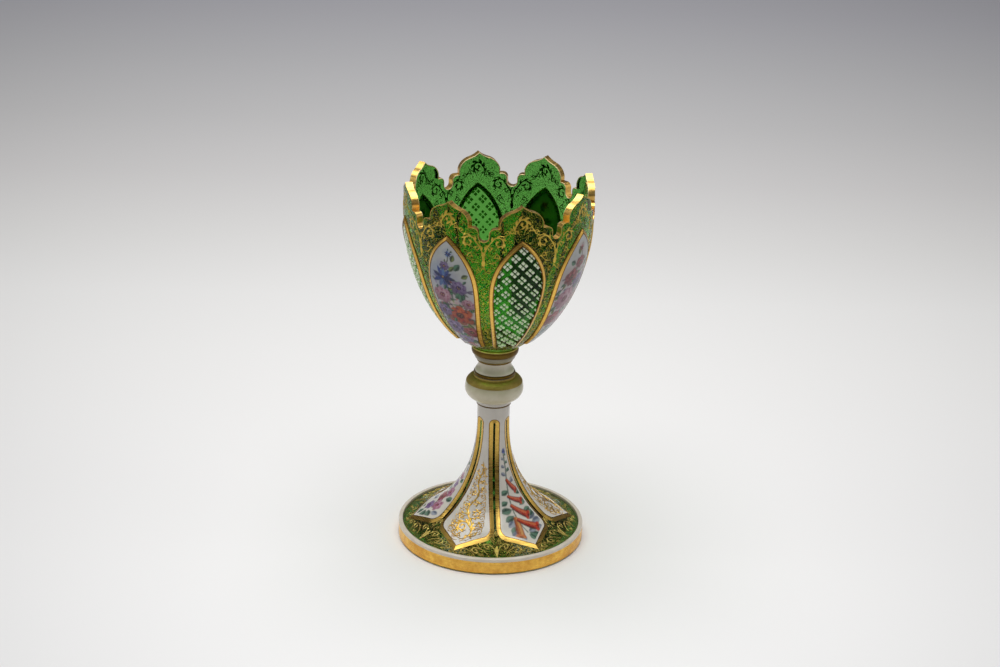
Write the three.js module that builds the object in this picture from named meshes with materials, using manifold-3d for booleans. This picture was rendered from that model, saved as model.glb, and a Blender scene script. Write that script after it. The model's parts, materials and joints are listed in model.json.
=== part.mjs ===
// Cut overlay goblet: a green glass bowl with a lobed rim, on a knopped stem and a round foot.
// White overlay panels lie on the bowl and on the foot, and gilding follows every cut edge.
// Millimetres, +Z up. The origin is the centre of the foot's base, and -Y is the front.
// A profile is a list of points (radius, height), and azimuths run from the front towards +X.
import * as THREE from "three";
import { mergeVertices } from "three/addons/utils/BufferGeometryUtils.js";
import Module from "manifold-3d";

const wasm = await Module();
wasm.setup();

const at = (x, y) => new THREE.Vector2(x, y);

// Layers and clearances
const seatGap = 0.3; // between a skin and the curved glass that it lies on
const overlayThickness = 0.7; // white overlay on the green glass
const gildThickness = 0.4; // gilding on a cut edge or a bevel

// Bowl glass without the overlay, heights from its own base
const bowlHeight = 78.8; // to the lobe tips
const bowlBaseRadius = 10.2;
const bowlRimRadius = 42.3;
const bowlUprightHeight = 66.5; // where the wall stands upright
const bowlFlareOut = 22.3; // how the curve leaves the base
const bowlFlareUp = 12.7;
const bowlSideCurve = 23.4; // how far down the upright wall pulls the curve
const bowlWall = 3;
const bowlFloor = 5; // solid glass under the inside
const bowlFloorRadius = 8; // flat middle of the inside
const bowlFloorRound = 4.5;

// Rim: eight lobes, each an ogee point on shoulders, with a keyhole notch between neighbours
const lobeCount = 8;
const frontLobeAzimuth = 14.1;
const lobeHollowAcross = 2; // the hollow beside the tip
const lobeHollowDrop = 1.8;
const lobeBendAcross = 4.6; // where the hollow turns into the shoulder
const lobeBendDrop = 2.6;
const lobeShoulderAcross = 8.7;
const lobeShoulderDrop = 3.9;
const lobeHalfWidth = 9.7;
const lobeSideTop = 7.6; // tip down to where the side is upright
const lobeStepDepth = 9.9;
const notchHalfWidth = 2.3;
const notchDepth = 16;
const notchCornerRadius = 2.4;

// Bowl panels: pointed windows under the lobes, each with a gilded bevel
const panelTipHeight = 63.8;
const panelWidestHeight = 40.8;
const panelHalfWidth = 12.4;
const panelFootHeight = 6.3;
const panelFootHalfWidth = 5.7;
const panelWaistDrop = 13; // how far down the widest width pulls the taper
const panelBevelWidth = 1.9;

// Turned rings and knop, between the stem and the bowl
const gildLineThickness = 0.5;
const neckRingHeight = 2.2;
const neckRingRadius = 8.1;
const neckLineHeight = 0.5;
const knopHeight = 12.5;
const knopRadius = 13.4;
const knopWidestHeight = 5.8;
const knopFootRadius = 8.2;
const knopCrownRadius = 9.4;
const knopCrownHeight = 1.2; // short upright neck on the knop
const knopBandDrop = 3.2; // how far the gilding comes down the shoulder
const collarRingHeight = 1.6;
const collarRingBulge = 0.5;
const collarHeight = 5.9;
const collarFootRadius = 9;
const collarWaistRadius = 7.4;
const mereseLineHeight = 0.9;
const mereseDiscHeight = 2.6;
const mereseDiscFootRadius = 8.3;
const mereseDiscRadius = 9.6;
const mereseRingHeight = 4;
const mereseRingBulge = 0.9;

// Stem and foot: the outer face of the overlay is one flare, from the neck to the rim ring
const neckHeight = 66.4;
const neckRadius = 7.45;
const neckUpright = 4.9; // the stem's upright top
const flareNeckPull = 26; // how far down the neck pulls the curve
const flareNeckDraw = 0.95; // and how far in
const flareLowRadius = 16; // where the foot's curve pulls to
const flareLowHeight = 16.2;
const flareFootHeight = 7.5;
const footRadius = 43;
const footRimWidth = 2;
const footLedgeHeight = 6.2;
const footRimTop = 7.8;
const footRimRound = 0.8;
const footBandBottom = 0.6;
const footBandThickness = 0.5;
const footEdgeChamfer = 0.5;
const footRestWidth = 9; // from the edge in to the hollow
const footHollowDepth = 2.5;

// Six slots cut through the overlay leave six pointed tongues between them
const slotCount = 6;
const frontSlotAzimuth = 5;
const slotHalfWidth = 0.8;
const slotTopDrop = 7.2; // below the neck's top
const slotBevelWidth = 1.6;
const tongueCornerReach = 26; // along the slot, to where the tongues turn away
const tongueCornerRadius = 5.5;
const tongueTipInset = 4.7; // from the foot's edge

// Fineness
const bowlSides = 32; // a multiple of the lobes, so that the panels' facets match the bowl's
const footSides = 30; // a multiple of the slots
const ringSides = 16;
const bowlSteps = 8;
const flareSteps = 8;
const curveSteps = 4;
const cornerSteps = 2;

const DEGREE = Math.PI / 180;
const lobePitch = 360 / lobeCount;
const slotPitch = 360 / slotCount;
const overlayLift = seatGap + overlayThickness;

const greenGlass = new THREE.MeshStandardMaterial({ color: 0x1f7a2a, roughness: 0.08, metalness: 0 });
const whiteOverlay = new THREE.MeshStandardMaterial({ color: 0xdcdad6, roughness: 0.25, metalness: 0 });
const gilding = new THREE.MeshStandardMaterial({ color: 0xc9962f, roughness: 0.3, metalness: 1 });

const mirrored = (points) => points.map((p) => at(-p.x, p.y)).reverse();

// A closed geometry as a solid that can be joined and cut
function solidOf(geometry) {
  geometry.deleteAttribute("normal");
  geometry.deleteAttribute("uv");
  const merged = mergeVertices(geometry, 1e-4);
  const corners = Array.from(merged.index.array);
  const triVerts = [];
  for (let i = 0; i < corners.length; i += 3) {
    const [a, b, c] = corners.slice(i, i + 3);
    if (a !== b && b !== c && c !== a) triVerts.push(a, b, c);
  }
  const vertProperties = merged.attributes.position.array;
  const mesh = new wasm.Mesh({ numProp: 3, vertProperties, triVerts: new Uint32Array(triVerts) });
  return new wasm.Manifold(mesh);
}

// A named mesh from a solid
function piece(name, solid, material) {
  const { vertProperties, triVerts } = solid.getMesh();
  const indexed = new THREE.BufferGeometry();
  indexed.setAttribute("position", new THREE.BufferAttribute(vertProperties, 3));
  indexed.setIndex(new THREE.BufferAttribute(triVerts, 1));
  const geometry = indexed.toNonIndexed();
  geometry.computeVertexNormals();
  const mesh = new THREE.Mesh(geometry, material.clone());
  mesh.name = name;
  return mesh;
}

// Moves a line to its right by a distance, with mitred corners
function offsetLine(points, distance) {
  const last = points.length - 1;
  return points.map((p, i) => {
    const before = points[Math.max(i - 1, 0)];
    const after = points[Math.min(i + 1, last)];
    const into = i > 0 ? p.clone().sub(before).normalize() : after.clone().sub(p).normalize();
    const out = i < last ? after.clone().sub(p).normalize() : into;
    const right = at(into.y + out.y, -into.x - out.x).normalize();
    return p.clone().addScaledVector(right, distance / Math.sqrt((1 + into.dot(out)) / 2));
  });
}

// A solid turned from a profile that runs up its outer side, and ends on the axis or closes
function turned(profile, sides) {
  const lathe = new THREE.LatheGeometry(profile, sides);
  return solidOf(lathe.rotateX(Math.PI / 2));
}

// A turned skin that lies between two distances from a profile
function turnedSkin(profile, near, far, sides) {
  const outer = offsetLine(profile, far);
  const inner = offsetLine(profile, near).reverse();
  return turned([...outer, ...inner, outer[0]], sides);
}

// A disc of one height, with the given side from its foot up
const turnedDisc = (side) => turned([at(0, side[0].y), ...side, at(0, side[side.length - 1].y)], ringSides);

// Points along an arc, given by its centre, radius and two angles in degrees
const arc = (x, y, radius, from, to, steps) =>
  new THREE.EllipseCurve(x, y, radius, radius, from * DEGREE, to * DEGREE, to < from).getPoints(steps);

// A thin ring that wraps a neck of the given radius
function wrappedRing(radius, bottom, top) {
  const inner = radius + seatGap;
  const outer = inner + gildLineThickness;
  const section = [at(inner, bottom), at(outer, bottom), at(outer, top), at(inner, top), at(inner, bottom)];
  return turned(section, ringSides);
}

// A bar of the given outline (across, height), run out from the axis towards an azimuth
function radialBar(outline, reach, azimuth) {
  const bar = new THREE.ExtrudeGeometry(new THREE.Shape(outline), { depth: reach, bevelEnabled: false });
  return solidOf(bar.rotateX(Math.PI / 2).rotateZ(azimuth * DEGREE));
}

// An upright bar of the given plan (outward, sideways), turned towards an azimuth
function uprightBar(plan, height, azimuth) {
  const bar = new THREE.ExtrudeGeometry(new THREE.Shape(plan), { depth: height, bevelEnabled: false });
  return solidOf(bar.rotateZ((azimuth - 90) * DEGREE));
}

// The bowl's outer side, from its base to the lobe tips
function bowlSide() {
  const base = at(bowlBaseRadius, 0);
  const upright = at(bowlRimRadius, bowlUprightHeight);
  const flare = at(bowlBaseRadius + bowlFlareOut, bowlFlareUp);
  const pull = upright.clone().sub(at(0, bowlSideCurve));
  const curve = new THREE.CubicBezierCurve(base, flare, pull, upright);
  return [...curve.getSpacedPoints(bowlSteps), at(bowlRimRadius, bowlHeight)];
}

// The bowl before its rim is cut: one wall thick, on a solid floor
function bowlBlank() {
  const outer = bowlSide();
  const wall = offsetLine(outer, -bowlWall).filter((p) => p.y > bowlFloor + bowlFloorRound);
  wall[wall.length - 1].y = bowlHeight;
  const floorEdge = at(bowlFloorRadius, bowlFloor);
  const floorPull = at(bowlFloorRadius + bowlFloorRound, bowlFloor);
  const floor = new THREE.QuadraticBezierCurve(floorEdge, floorPull, wall[0]).getPoints(curveSteps - 1);
  const inside = [at(0, bowlFloor), ...floor, ...wall.slice(1)];
  return turned([at(0, 0), ...outer, ...inside.reverse()], bowlSides);
}

// The air above one lobe, taken down into the glass by a depth
function lobeCut(depth, azimuth) {
  const below = (across, drop) => at(across, bowlHeight - drop);
  const bend = below(lobeBendAcross, lobeBendDrop);
  const hollowPull = below(lobeHollowAcross, lobeHollowDrop);
  const shoulderPull = below(lobeShoulderAcross, lobeShoulderDrop);
  const hollow = new THREE.QuadraticBezierCurve(below(0, 0), hollowPull, bend);
  const shoulder = new THREE.QuadraticBezierCurve(bend, shoulderPull, below(lobeHalfWidth, lobeSideTop));
  const step = bowlHeight - lobeStepDepth;
  const past = bowlRimRadius * Math.sin((lobePitch / 2 + 1) * DEGREE);
  const half = [
    ...hollow.getPoints(cornerSteps),
    ...shoulder.getPoints(curveSteps - 1).slice(1),
    at(lobeHalfWidth, step),
    at(past, step),
  ];
  const edge = offsetLine([...mirrored(half.slice(1)), ...half], depth);
  const top = bowlHeight + bowlWall;
  return radialBar([at(past, top), at(-past, top), ...edge], bowlRimRadius + bowlWall, azimuth);
}

// The air in one notch, with a round bottom and rounded upper corners, taken into the glass
function notchCut(depth, azimuth) {
  const cornerX = notchHalfWidth + notchCornerRadius;
  const cornerY = bowlHeight - lobeStepDepth - notchCornerRadius;
  const cornerRadius = notchCornerRadius - depth;
  const bottomY = bowlHeight - notchDepth + notchHalfWidth;
  const top = bowlHeight + bowlWall;
  const outline = [
    at(cornerX, top),
    at(-cornerX, top),
    ...arc(-cornerX, cornerY, cornerRadius, 90, 0, cornerSteps),
    ...arc(0, bottomY, notchHalfWidth + depth, 180, 360, curveSteps),
    ...arc(cornerX, cornerY, cornerRadius, 180, 90, cornerSteps),
  ];
  return radialBar(outline, bowlRimRadius + bowlWall, azimuth);
}

// All the air that shapes the rim
function rimCuts(depth) {
  const cuts = [];
  for (let i = 0; i < lobeCount; i += 1) {
    cuts.push(lobeCut(depth, i * lobePitch), notchCut(depth, (i + 0.5) * lobePitch));
  }
  return wasm.Manifold.union(cuts);
}

// Outline of a bowl panel, drawn in from its edge by an inset and drawn down past its foot
function panelOutline(inset, footDrop = 0) {
  const rise = panelTipHeight - panelWidestHeight;
  const archRadius = (rise ** 2 + panelHalfWidth ** 2) / (2 * panelHalfWidth);
  const archAngle = Math.asin(rise / archRadius) / DEGREE;
  const arch = arc(panelHalfWidth - archRadius, panelWidestHeight, archRadius, 0, archAngle, curveSteps);
  const foot = at(panelFootHalfWidth, panelFootHeight);
  const pull = at(panelHalfWidth, panelWidestHeight - panelWaistDrop);
  const widest = at(panelHalfWidth, panelWidestHeight);
  const taper = new THREE.QuadraticBezierCurve(foot, pull, widest).getPoints(curveSteps - 1);
  const right = [...taper, ...arch.slice(1)];
  right[right.length - 1].x = 0;
  const edge = offsetLine([...right, ...mirrored(right).slice(1)], -inset);
  edge[0].y = panelFootHeight - footDrop;
  edge[edge.length - 1].y = panelFootHeight - footDrop;
  return edge;
}

// The bowl with its gilded rim, panels and bevels
function bowlGroup() {
  const group = new THREE.Group();
  const blank = bowlBlank();
  const gildedRim = blank.subtract(rimCuts(0)).intersect(rimCuts(gildThickness));
  group.add(piece("bowl", blank.subtract(rimCuts(gildThickness + seatGap)), greenGlass));
  group.add(piece("rim_gilding", gildedRim, gilding));

  const overlay = turnedSkin(bowlSide(), seatGap, overlayLift, bowlSides);
  const bevelSkin = turnedSkin(bowlSide(), seatGap, seatGap + gildThickness, bowlSides);
  const reach = bowlRimRadius + 2 * overlayLift;
  const panel = overlay.intersect(radialBar(panelOutline(panelBevelWidth + seatGap), reach, 0));
  const outside = radialBar(panelOutline(0), reach, 0);
  const inside = radialBar(panelOutline(panelBevelWidth, bowlWall), reach, 0);
  const border = bevelSkin.intersect(outside).subtract(inside);
  for (let i = 0; i < lobeCount; i += 1) {
    const kind = i % 2 === 0 ? "lattice_panel" : "flower_panel";
    const window = new THREE.Group();
    window.add(piece(`${kind}_${Math.floor(i / 2) + 1}`, panel, whiteOverlay));
    window.add(piece(`panel_border_${i + 1}`, border, gilding));
    window.rotation.z = i * lobePitch * DEGREE;
    group.add(window);
  }
  return group;
}

// A side that bulges out in a half round between two heights
function bulgedSide(radius, bulge, height) {
  const round = new THREE.EllipseCurve(radius, height / 2, bulge, height / 2, -90 * DEGREE, 90 * DEGREE);
  return round.getPoints(curveSteps);
}

// The knop's side in two stretches, below and above its widest part
function knopSides() {
  const widest = at(knopRadius, knopWidestHeight);
  const foot = at(knopFootRadius, 0);
  const pull = at(knopRadius, knopWidestHeight / 4);
  const lower = new THREE.QuadraticBezierCurve(foot, pull, widest).getPoints(curveSteps);
  const bulge = knopRadius - knopCrownRadius;
  const rise = knopHeight - knopCrownHeight - knopWidestHeight;
  const round = new THREE.EllipseCurve(knopCrownRadius, knopWidestHeight, bulge, rise, 0, 90 * DEGREE);
  return { lower, upper: round.getPoints(curveSteps + 1) };
}

// Rings, knop and collar as a stack, each from its own foot up, in the order that they stand
function knopStack() {
  const { lower, upper } = knopSides();
  const underFlange = neckRingRadius - gildLineThickness - seatGap;
  const flangeRound = new THREE.QuadraticBezierCurve(
    at(neckRingRadius, neckLineHeight + seatGap),
    at(neckRingRadius, neckRingHeight / 2),
    at(knopFootRadius - seatGap, neckRingHeight),
  ).getPoints(cornerSteps);
  const neckSide = [at(underFlange, 0), at(underFlange, neckLineHeight + seatGap), ...flangeRound];

  const collarCurve = new THREE.CubicBezierCurve(
    at(collarFootRadius, 0),
    at(collarFootRadius, collarHeight / 3),
    at(collarWaistRadius, collarHeight / 4),
    at(collarWaistRadius, collarHeight - mereseLineHeight - seatGap),
  ).getPoints(curveSteps);
  const discSide = new THREE.QuadraticBezierCurve(
    at(mereseDiscFootRadius, 0),
    at(mereseDiscRadius, mereseDiscHeight / 3),
    at(mereseDiscRadius, mereseDiscHeight),
  ).getPoints(cornerSteps);
  const bandLine = upper.filter((p) => p.y > knopHeight - knopCrownHeight - knopBandDrop);

  const neckLine = wrappedRing(underFlange, 0, neckLineHeight);
  const knopBand = turnedSkin(bandLine, seatGap, seatGap + gildThickness, ringSides);
  const mereseLine = wrappedRing(collarWaistRadius, collarHeight - mereseLineHeight, collarHeight);
  return [
    [neckRingHeight, ["neck_ring", turnedDisc(neckSide), whiteOverlay], ["neck_line", neckLine, gilding]],
    [
      knopHeight,
      ["knop", turnedDisc([...lower, ...upper.slice(1), at(knopCrownRadius, knopHeight)]), whiteOverlay],
      ["knop_band", knopBand, gilding],
    ],
    [
      collarRingHeight,
      ["collar_ring", turnedDisc(bulgedSide(collarFootRadius, collarRingBulge, collarRingHeight)), gilding],
    ],
    [
      collarHeight,
      ["collar", turnedDisc([...collarCurve, at(collarWaistRadius, collarHeight)]), whiteOverlay],
      ["merese_line", mereseLine, gilding],
    ],
    [mereseDiscHeight, ["merese_disc", turnedDisc(discSide), whiteOverlay]],
    [
      mereseRingHeight,
      ["merese_ring", turnedDisc(bulgedSide(mereseDiscRadius, mereseRingBulge, mereseRingHeight)), gilding],
    ],
  ];
}

// The overlay's outer face, from the rim ring up to the neck
function flareSide() {
  const top = at(neckRadius, neckHeight - neckUpright);
  const upper = at(neckRadius - flareNeckDraw, top.y - flareNeckPull);
  const lower = at(flareLowRadius, flareLowHeight);
  const foot = at(footRadius - footRimWidth, flareFootHeight);
  const curve = new THREE.CubicBezierCurve(foot, lower, upper, top);
  return [...curve.getSpacedPoints(flareSteps), at(neckRadius, neckHeight)];
}

// The air of one slot and of the ground beyond it, widened into the tongues by a depth
function slotCut(depth, sideGap, azimuth) {
  const half = slotPitch / 2;
  const centre = at(tongueCornerReach, slotHalfWidth + tongueCornerRadius);
  const boundary = at(Math.cos(half * DEGREE), Math.sin(half * DEGREE));
  const toTip = boundary.clone().multiplyScalar(footRadius - tongueTipInset).sub(centre);
  const turn = toTip.angle() - Math.acos(tongueCornerRadius / toTip.length());
  const facing = at(Math.cos(turn), Math.sin(turn));
  const edgeReach = tongueCornerRadius - depth + centre.dot(facing);
  const aside = at(boundary.y, -boundary.x).multiplyScalar(sideGap);
  const tip = boundary.clone().multiplyScalar((edgeReach - aside.dot(facing)) / boundary.dot(facing));
  const width = slotHalfWidth + depth;
  const corner = arc(centre.x, centre.y, tongueCornerRadius - depth, -90, turn / DEGREE, curveSteps);
  const far = boundary.clone().multiplyScalar(2 * footRadius).add(aside);
  const right = [at(0, width), ...corner, tip.add(aside), far];
  const left = right.map((p) => at(p.x, -p.y)).reverse();
  const roundHeight = neckHeight - slotTopDrop - slotHalfWidth;
  const round = arc(0, roundHeight, width, 0, 360, 2 * curveSteps).slice(1);
  const channel = uprightBar([...right, ...left], roundHeight, azimuth);
  return channel.add(radialBar(round, footRadius, azimuth));
}

// The green foot and stem core, hollowed a little underneath
function footGlass() {
  const side = offsetLine(flareSide(), -overlayLift);
  side[side.length - 1].y = neckHeight;
  const hollowEdge = at(footRadius - footRestWidth, 0);
  const hollowPull = at(hollowEdge.x / 2, footHollowDepth);
  const hollowTop = at(0, footHollowDepth);
  const hollow = new THREE.QuadraticBezierCurve(hollowTop, hollowPull, hollowEdge).getPoints(curveSteps - 1);
  const edge = footRadius - footBandThickness - seatGap;
  const profile = [
    ...hollow,
    at(edge - footEdgeChamfer, 0),
    at(edge, footEdgeChamfer),
    at(edge, footLedgeHeight),
    at(side[0].x, footLedgeHeight),
    ...side,
    at(0, neckHeight),
  ];
  return turned(profile, footSides);
}

// The white ring left at the foot's upper edge, rounded outside
function footRim() {
  const inner = offsetLine(flareSide(), -overlayLift)[0].x + seatGap;
  const roundX = footRadius - footRimRound;
  const roundY = footRimTop - footRimRound;
  const round = arc(roundX, roundY, footRimRound, 0, 90, cornerSteps);
  const start = at(inner, footLedgeHeight);
  return turned([start, at(footRadius, footLedgeHeight), ...round, at(inner, footRimTop), start], footSides);
}

// The gilded band round the foot's side
function footBand() {
  const inner = footRadius - footBandThickness;
  const start = at(inner, footBandBottom);
  const outside = [at(footRadius, footBandBottom), at(footRadius, footLedgeHeight)];
  return turned([start, ...outside, at(inner, footLedgeHeight), start], footSides);
}

// The foot with its overlay tongues, bevels and rim
function footGroup() {
  const group = new THREE.Group();
  group.add(piece("foot", footGlass(), greenGlass));
  group.add(piece("foot_rim", footRim(), whiteOverlay));
  group.add(piece("foot_band", footBand(), gilding));

  const overlay = turnedSkin(flareSide(), -overlayThickness, 0, footSides);
  const bevelSkin = turnedSkin(flareSide(), -overlayThickness, gildThickness - overlayThickness, footSides);
  const wide = slotCut(slotBevelWidth, seatGap / 2, 0);
  const bevel = bevelSkin.intersect(wide).subtract(slotCut(0, -seatGap / 2, 0));
  const openings = [];
  for (let i = 0; i < slotCount; i += 1) {
    openings.push(slotCut(slotBevelWidth + seatGap, -seatGap / 2, i * slotPitch));
    const border = piece(`slot_border_${i + 1}`, bevel, gilding);
    border.rotation.z = i * slotPitch * DEGREE;
    group.add(border);
  }
  group.add(piece("stem_overlay", overlay.subtract(wasm.Manifold.union(openings)), whiteOverlay));
  return group;
}

const goblet = new THREE.Group();

const foot = footGroup();
foot.rotation.z = frontSlotAzimuth * DEGREE;
goblet.add(foot);

let stackHeight = neckHeight;
for (const [height, ...pieces] of knopStack()) {
  for (const [name, solid, material] of pieces) {
    const mesh = piece(name, solid, material);
    mesh.position.z = stackHeight;
    goblet.add(mesh);
  }
  stackHeight += height;
}

const bowl = bowlGroup();
bowl.position.z = stackHeight;
bowl.rotation.z = frontLobeAzimuth * DEGREE;
goblet.add(bowl);

export default goblet;
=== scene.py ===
# %% [markdown]
# # A cut overlay goblet
# The goblet is green glass cased in opaque white. The cutter wheels windows and slots through the
# white, and the cut edges, rim and rings are gilded. The frame gives every size, and this lesson
# makes the finished surfaces: smooth turned glass, bevelled gilt edges, painted flowers and scrolls.

import json
import math

import bmesh
import bpy
import numpy as np
from mathutils import Matrix, Vector
from mathutils.geometry import interpolate_bezier

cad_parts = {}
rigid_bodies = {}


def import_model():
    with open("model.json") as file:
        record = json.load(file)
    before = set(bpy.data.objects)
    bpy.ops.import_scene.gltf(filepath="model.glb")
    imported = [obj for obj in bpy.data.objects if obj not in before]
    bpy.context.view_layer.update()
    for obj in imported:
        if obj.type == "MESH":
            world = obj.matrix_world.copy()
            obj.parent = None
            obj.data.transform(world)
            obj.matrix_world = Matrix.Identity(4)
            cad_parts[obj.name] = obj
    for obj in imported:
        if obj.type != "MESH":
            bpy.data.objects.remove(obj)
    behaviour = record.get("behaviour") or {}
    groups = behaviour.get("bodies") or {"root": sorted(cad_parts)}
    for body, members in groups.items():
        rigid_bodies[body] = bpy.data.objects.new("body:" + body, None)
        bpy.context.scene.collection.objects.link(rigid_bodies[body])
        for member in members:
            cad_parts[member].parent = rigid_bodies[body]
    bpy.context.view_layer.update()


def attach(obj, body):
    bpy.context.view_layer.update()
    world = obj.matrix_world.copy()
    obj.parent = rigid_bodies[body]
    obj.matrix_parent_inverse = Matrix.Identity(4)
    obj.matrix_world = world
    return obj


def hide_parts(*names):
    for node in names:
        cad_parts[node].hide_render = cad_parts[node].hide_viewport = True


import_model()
MM = 0.001

# %% [markdown]
# ## The camera
# The camera looks down at the goblet from in front with a long lens. Its place and its small tilt
# were worked out from the eight points of the rim and the two edges of the foot.

# %% Set the camera
CAMERA_PLACE = (0, -0.9104, 0.4587)
LENS, SENSOR = 77.8, 36
pitch, yaw, roll = (math.radians(angle) for angle in (21.49, 0.126, 1.585))
forward = Vector((math.sin(yaw) * math.cos(pitch), math.cos(yaw) * math.cos(pitch), -math.sin(pitch)))
level_right = Vector((math.cos(yaw), -math.sin(yaw), 0))
level_up = level_right.cross(forward)
camera_right = math.cos(roll) * level_right + math.sin(roll) * level_up
camera_up = math.cos(roll) * level_up - math.sin(roll) * level_right
camera_data = bpy.data.cameras.new("camera")
camera_data.lens, camera_data.sensor_width = LENS, SENSOR
camera_data.clip_start, camera_data.clip_end = 0.01, 50
camera = bpy.data.objects.new("camera", camera_data)
turn = Matrix((camera_right, camera_up, -forward)).transposed().to_4x4()
camera.matrix_world = Matrix.Translation(CAMERA_PLACE) @ turn
bpy.context.collection.objects.link(camera)
bpy.context.scene.camera = camera
bpy.context.scene.view_settings.view_transform = "Standard"
print("camera set, lens", camera_data.lens)

# %% [markdown]
# ## Sides of the turned parts
# The bowl and the foot are turned bodies, and everything else lies on them. So each side is kept as
# a table: radius, height, outward direction and the length along the side, in millimetres.
# Azimuths run from the front towards +X, as in the frame.


# %% Tables of a side
def curve(start, pull, push, end, count):
    """Points on a smooth curve between two (radius, height) points."""
    knots = [Vector((x, y, 0)) for x, y in (start, pull, push, end)]
    return [(p.x, p.y) for p in interpolate_bezier(*knots, count)]


def side_table(points):
    """Rows of radius, height, outward direction in both, and length so far."""
    spot = np.array(points, dtype=float)
    step = np.gradient(spot, axis=0)
    step /= np.linalg.norm(step, axis=1)[:, None]
    run = np.concatenate([[0], np.cumsum(np.linalg.norm(np.diff(spot, axis=0), axis=1))])
    return np.column_stack([spot, step[:, 1], -step[:, 0], run])


BOWL_BASE, BOWL_RADIUS, RIM_TOP = 95.2, 42.3, 174.0
bowl_points = curve((10.2, BOWL_BASE), (32.5, 107.9), (BOWL_RADIUS, 138.3), (BOWL_RADIUS, 161.7), 90)
bowl_points += [(BOWL_RADIUS, z) for z in np.linspace(162.5, RIM_TOP, 16)]
bowl_side = side_table(bowl_points)

FOOT_TOP, NECK_RADIUS, NECK_TOP = 7.5, 7.45, 66.4
flare_points = curve((41, FOOT_TOP), (16, 16.2), (6.5, 35.5), (NECK_RADIUS, 61.5), 120)
flare_points += [(NECK_RADIUS, z) for z in np.linspace(62, NECK_TOP, 8)]
flare_side = side_table(flare_points)
print("bowl side", round(bowl_side[-1, 4], 1), "mm, flare side", round(flare_side[-1, 4], 1), "mm")


def along_at(table, height):
    """Length along a side at a height."""
    return float(np.interp(height, table[:, 1], table[:, 4]))


def radius_at(table, height):
    """Radius of a side at a height."""
    return float(np.interp(height, table[:, 1], table[:, 0]))


def radius_along(table, along):
    """Radius of a side at a length along it."""
    return float(np.interp(along, table[:, 4], table[:, 0]))


def laid(table, azimuth, flat):
    """Flat points (round, along, out) laid on a side, in metres."""
    flat = np.asarray(flat, dtype=float)
    r, z, out_r, out_z = (np.interp(flat[:, 1], table[:, 4], table[:, k]) for k in range(4))
    angle = math.radians(azimuth) + flat[:, 0] / r
    reach = r + out_r * flat[:, 2]
    return np.column_stack([reach * np.sin(angle), -reach * np.cos(angle), z + out_z * flat[:, 2]]) * MM


# %% [markdown]
# ## Helpers for pieces
# Each piece is made in a bmesh, given its material and slot, set on the one body and named. Edges
# sharper than 35 degrees stay crisp, and the rest is shaded smooth.


# %% Finish a piece
def finished(bm, name, material, slot, *nodes, crisp=35, second=None):
    """Turns a bmesh into a piece of the goblet that stands for the named nodes."""
    mesh = bpy.data.meshes.new(name)
    for edge in bm.edges:
        edge.smooth = len(edge.link_faces) != 2 or edge.calc_face_angle(0) < math.radians(crisp)
    for face in bm.faces:
        face.smooth = True
    bm.to_mesh(mesh)
    bm.free()
    piece = bpy.data.objects.new(name, mesh)
    bpy.context.collection.objects.link(piece)
    mesh.materials.append(material)
    if second:
        mesh.materials.append(second)
    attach(piece, "root")
    if nodes:
        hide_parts(*nodes)
    return piece


def face_count(piece):
    """How many faces a piece has."""
    return len(piece.data.polygons)


# %% Turned blanks, and cuts
def spun(profile, sides):
    """A bmesh turned from (radius, height) points in millimetres."""
    bm = bmesh.new()
    verts = [bm.verts.new((0, -r * MM, z * MM)) for r, z in profile]
    edges = [bm.edges.new(pair) for pair in zip(verts, verts[1:])]
    if profile[0][0] > 0 and profile[-1][0] > 0:
        edges.append(bm.edges.new((verts[-1], verts[0])))
    bmesh.ops.spin(
        bm, geom=verts + edges, cent=(0, 0, 0), axis=(0, 0, 1), angle=math.tau, steps=sides, use_merge=True
    )
    bmesh.ops.remove_doubles(bm, verts=bm.verts, dist=1e-7)
    bmesh.ops.recalc_face_normals(bm, faces=bm.faces)
    return bm


def combined(bm, tools, operation):
    """The first bmesh cut by, joined to or kept inside the others."""
    shelf = bpy.data.collections.new("shelf")
    bpy.context.scene.collection.children.link(shelf)
    objects = []
    for k, source in enumerate([bm] + tools):
        mesh = bpy.data.meshes.new("blank")
        source.to_mesh(mesh)
        source.free()
        objects.append(bpy.data.objects.new("blank", mesh))
        (shelf.objects if k else bpy.context.collection.objects).link(objects[-1])
    modifier = objects[0].modifiers.new("cut", "BOOLEAN")
    modifier.operand_type, modifier.collection = "COLLECTION", shelf
    modifier.operation, modifier.solver = operation, "MANIFOLD"
    drawn = objects[0].evaluated_get(bpy.context.evaluated_depsgraph_get())
    result = bmesh.new()
    result.from_mesh(drawn.to_mesh())
    drawn.to_mesh_clear()
    for blank in objects:
        mesh = blank.data
        bpy.data.objects.remove(blank)
        bpy.data.meshes.remove(mesh)
    bpy.data.collections.remove(shelf)
    return result


# %% Outlines and bars
def offset_line(points, distance):
    """The line moved to its right by a distance, with mitred corners."""
    spot = [Vector(p[:2]) for p in points]
    moved = []
    for i, p in enumerate(spot):
        into = (p - spot[i - 1]).normalized() if i else (spot[1] - p).normalized()
        out = (spot[i + 1] - p).normalized() if i < len(spot) - 1 else into
        right = Vector((into.y + out.y, -into.x - out.x)).normalized()
        moved.append(tuple(p + right * distance / math.sqrt((1 + into.dot(out)) / 2)))
    return moved


def skin_of(points, outer, inner):
    """Profile of a thin skin between two offsets of a line."""
    return offset_line(points, outer) + offset_line(points, inner)[::-1]


def oval(x, y, wide, tall, first, last, steps):
    """Points along an oval between two angles in degrees."""
    angles = np.radians(np.linspace(first, last, steps + 1))
    return [(x + wide * math.cos(a), y + tall * math.sin(a)) for a in angles]


def arc(x, y, radius, first, last, steps):
    """Points along a circle between two angles in degrees."""
    return oval(x, y, radius, radius, first, last, steps)


def polar(x, y, reach, angle, squash=1.0):
    """The place at a reach and an angle from another, on a round or flattened ring."""
    return x + reach * math.cos(angle), y + reach * math.sin(angle) * squash


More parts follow.
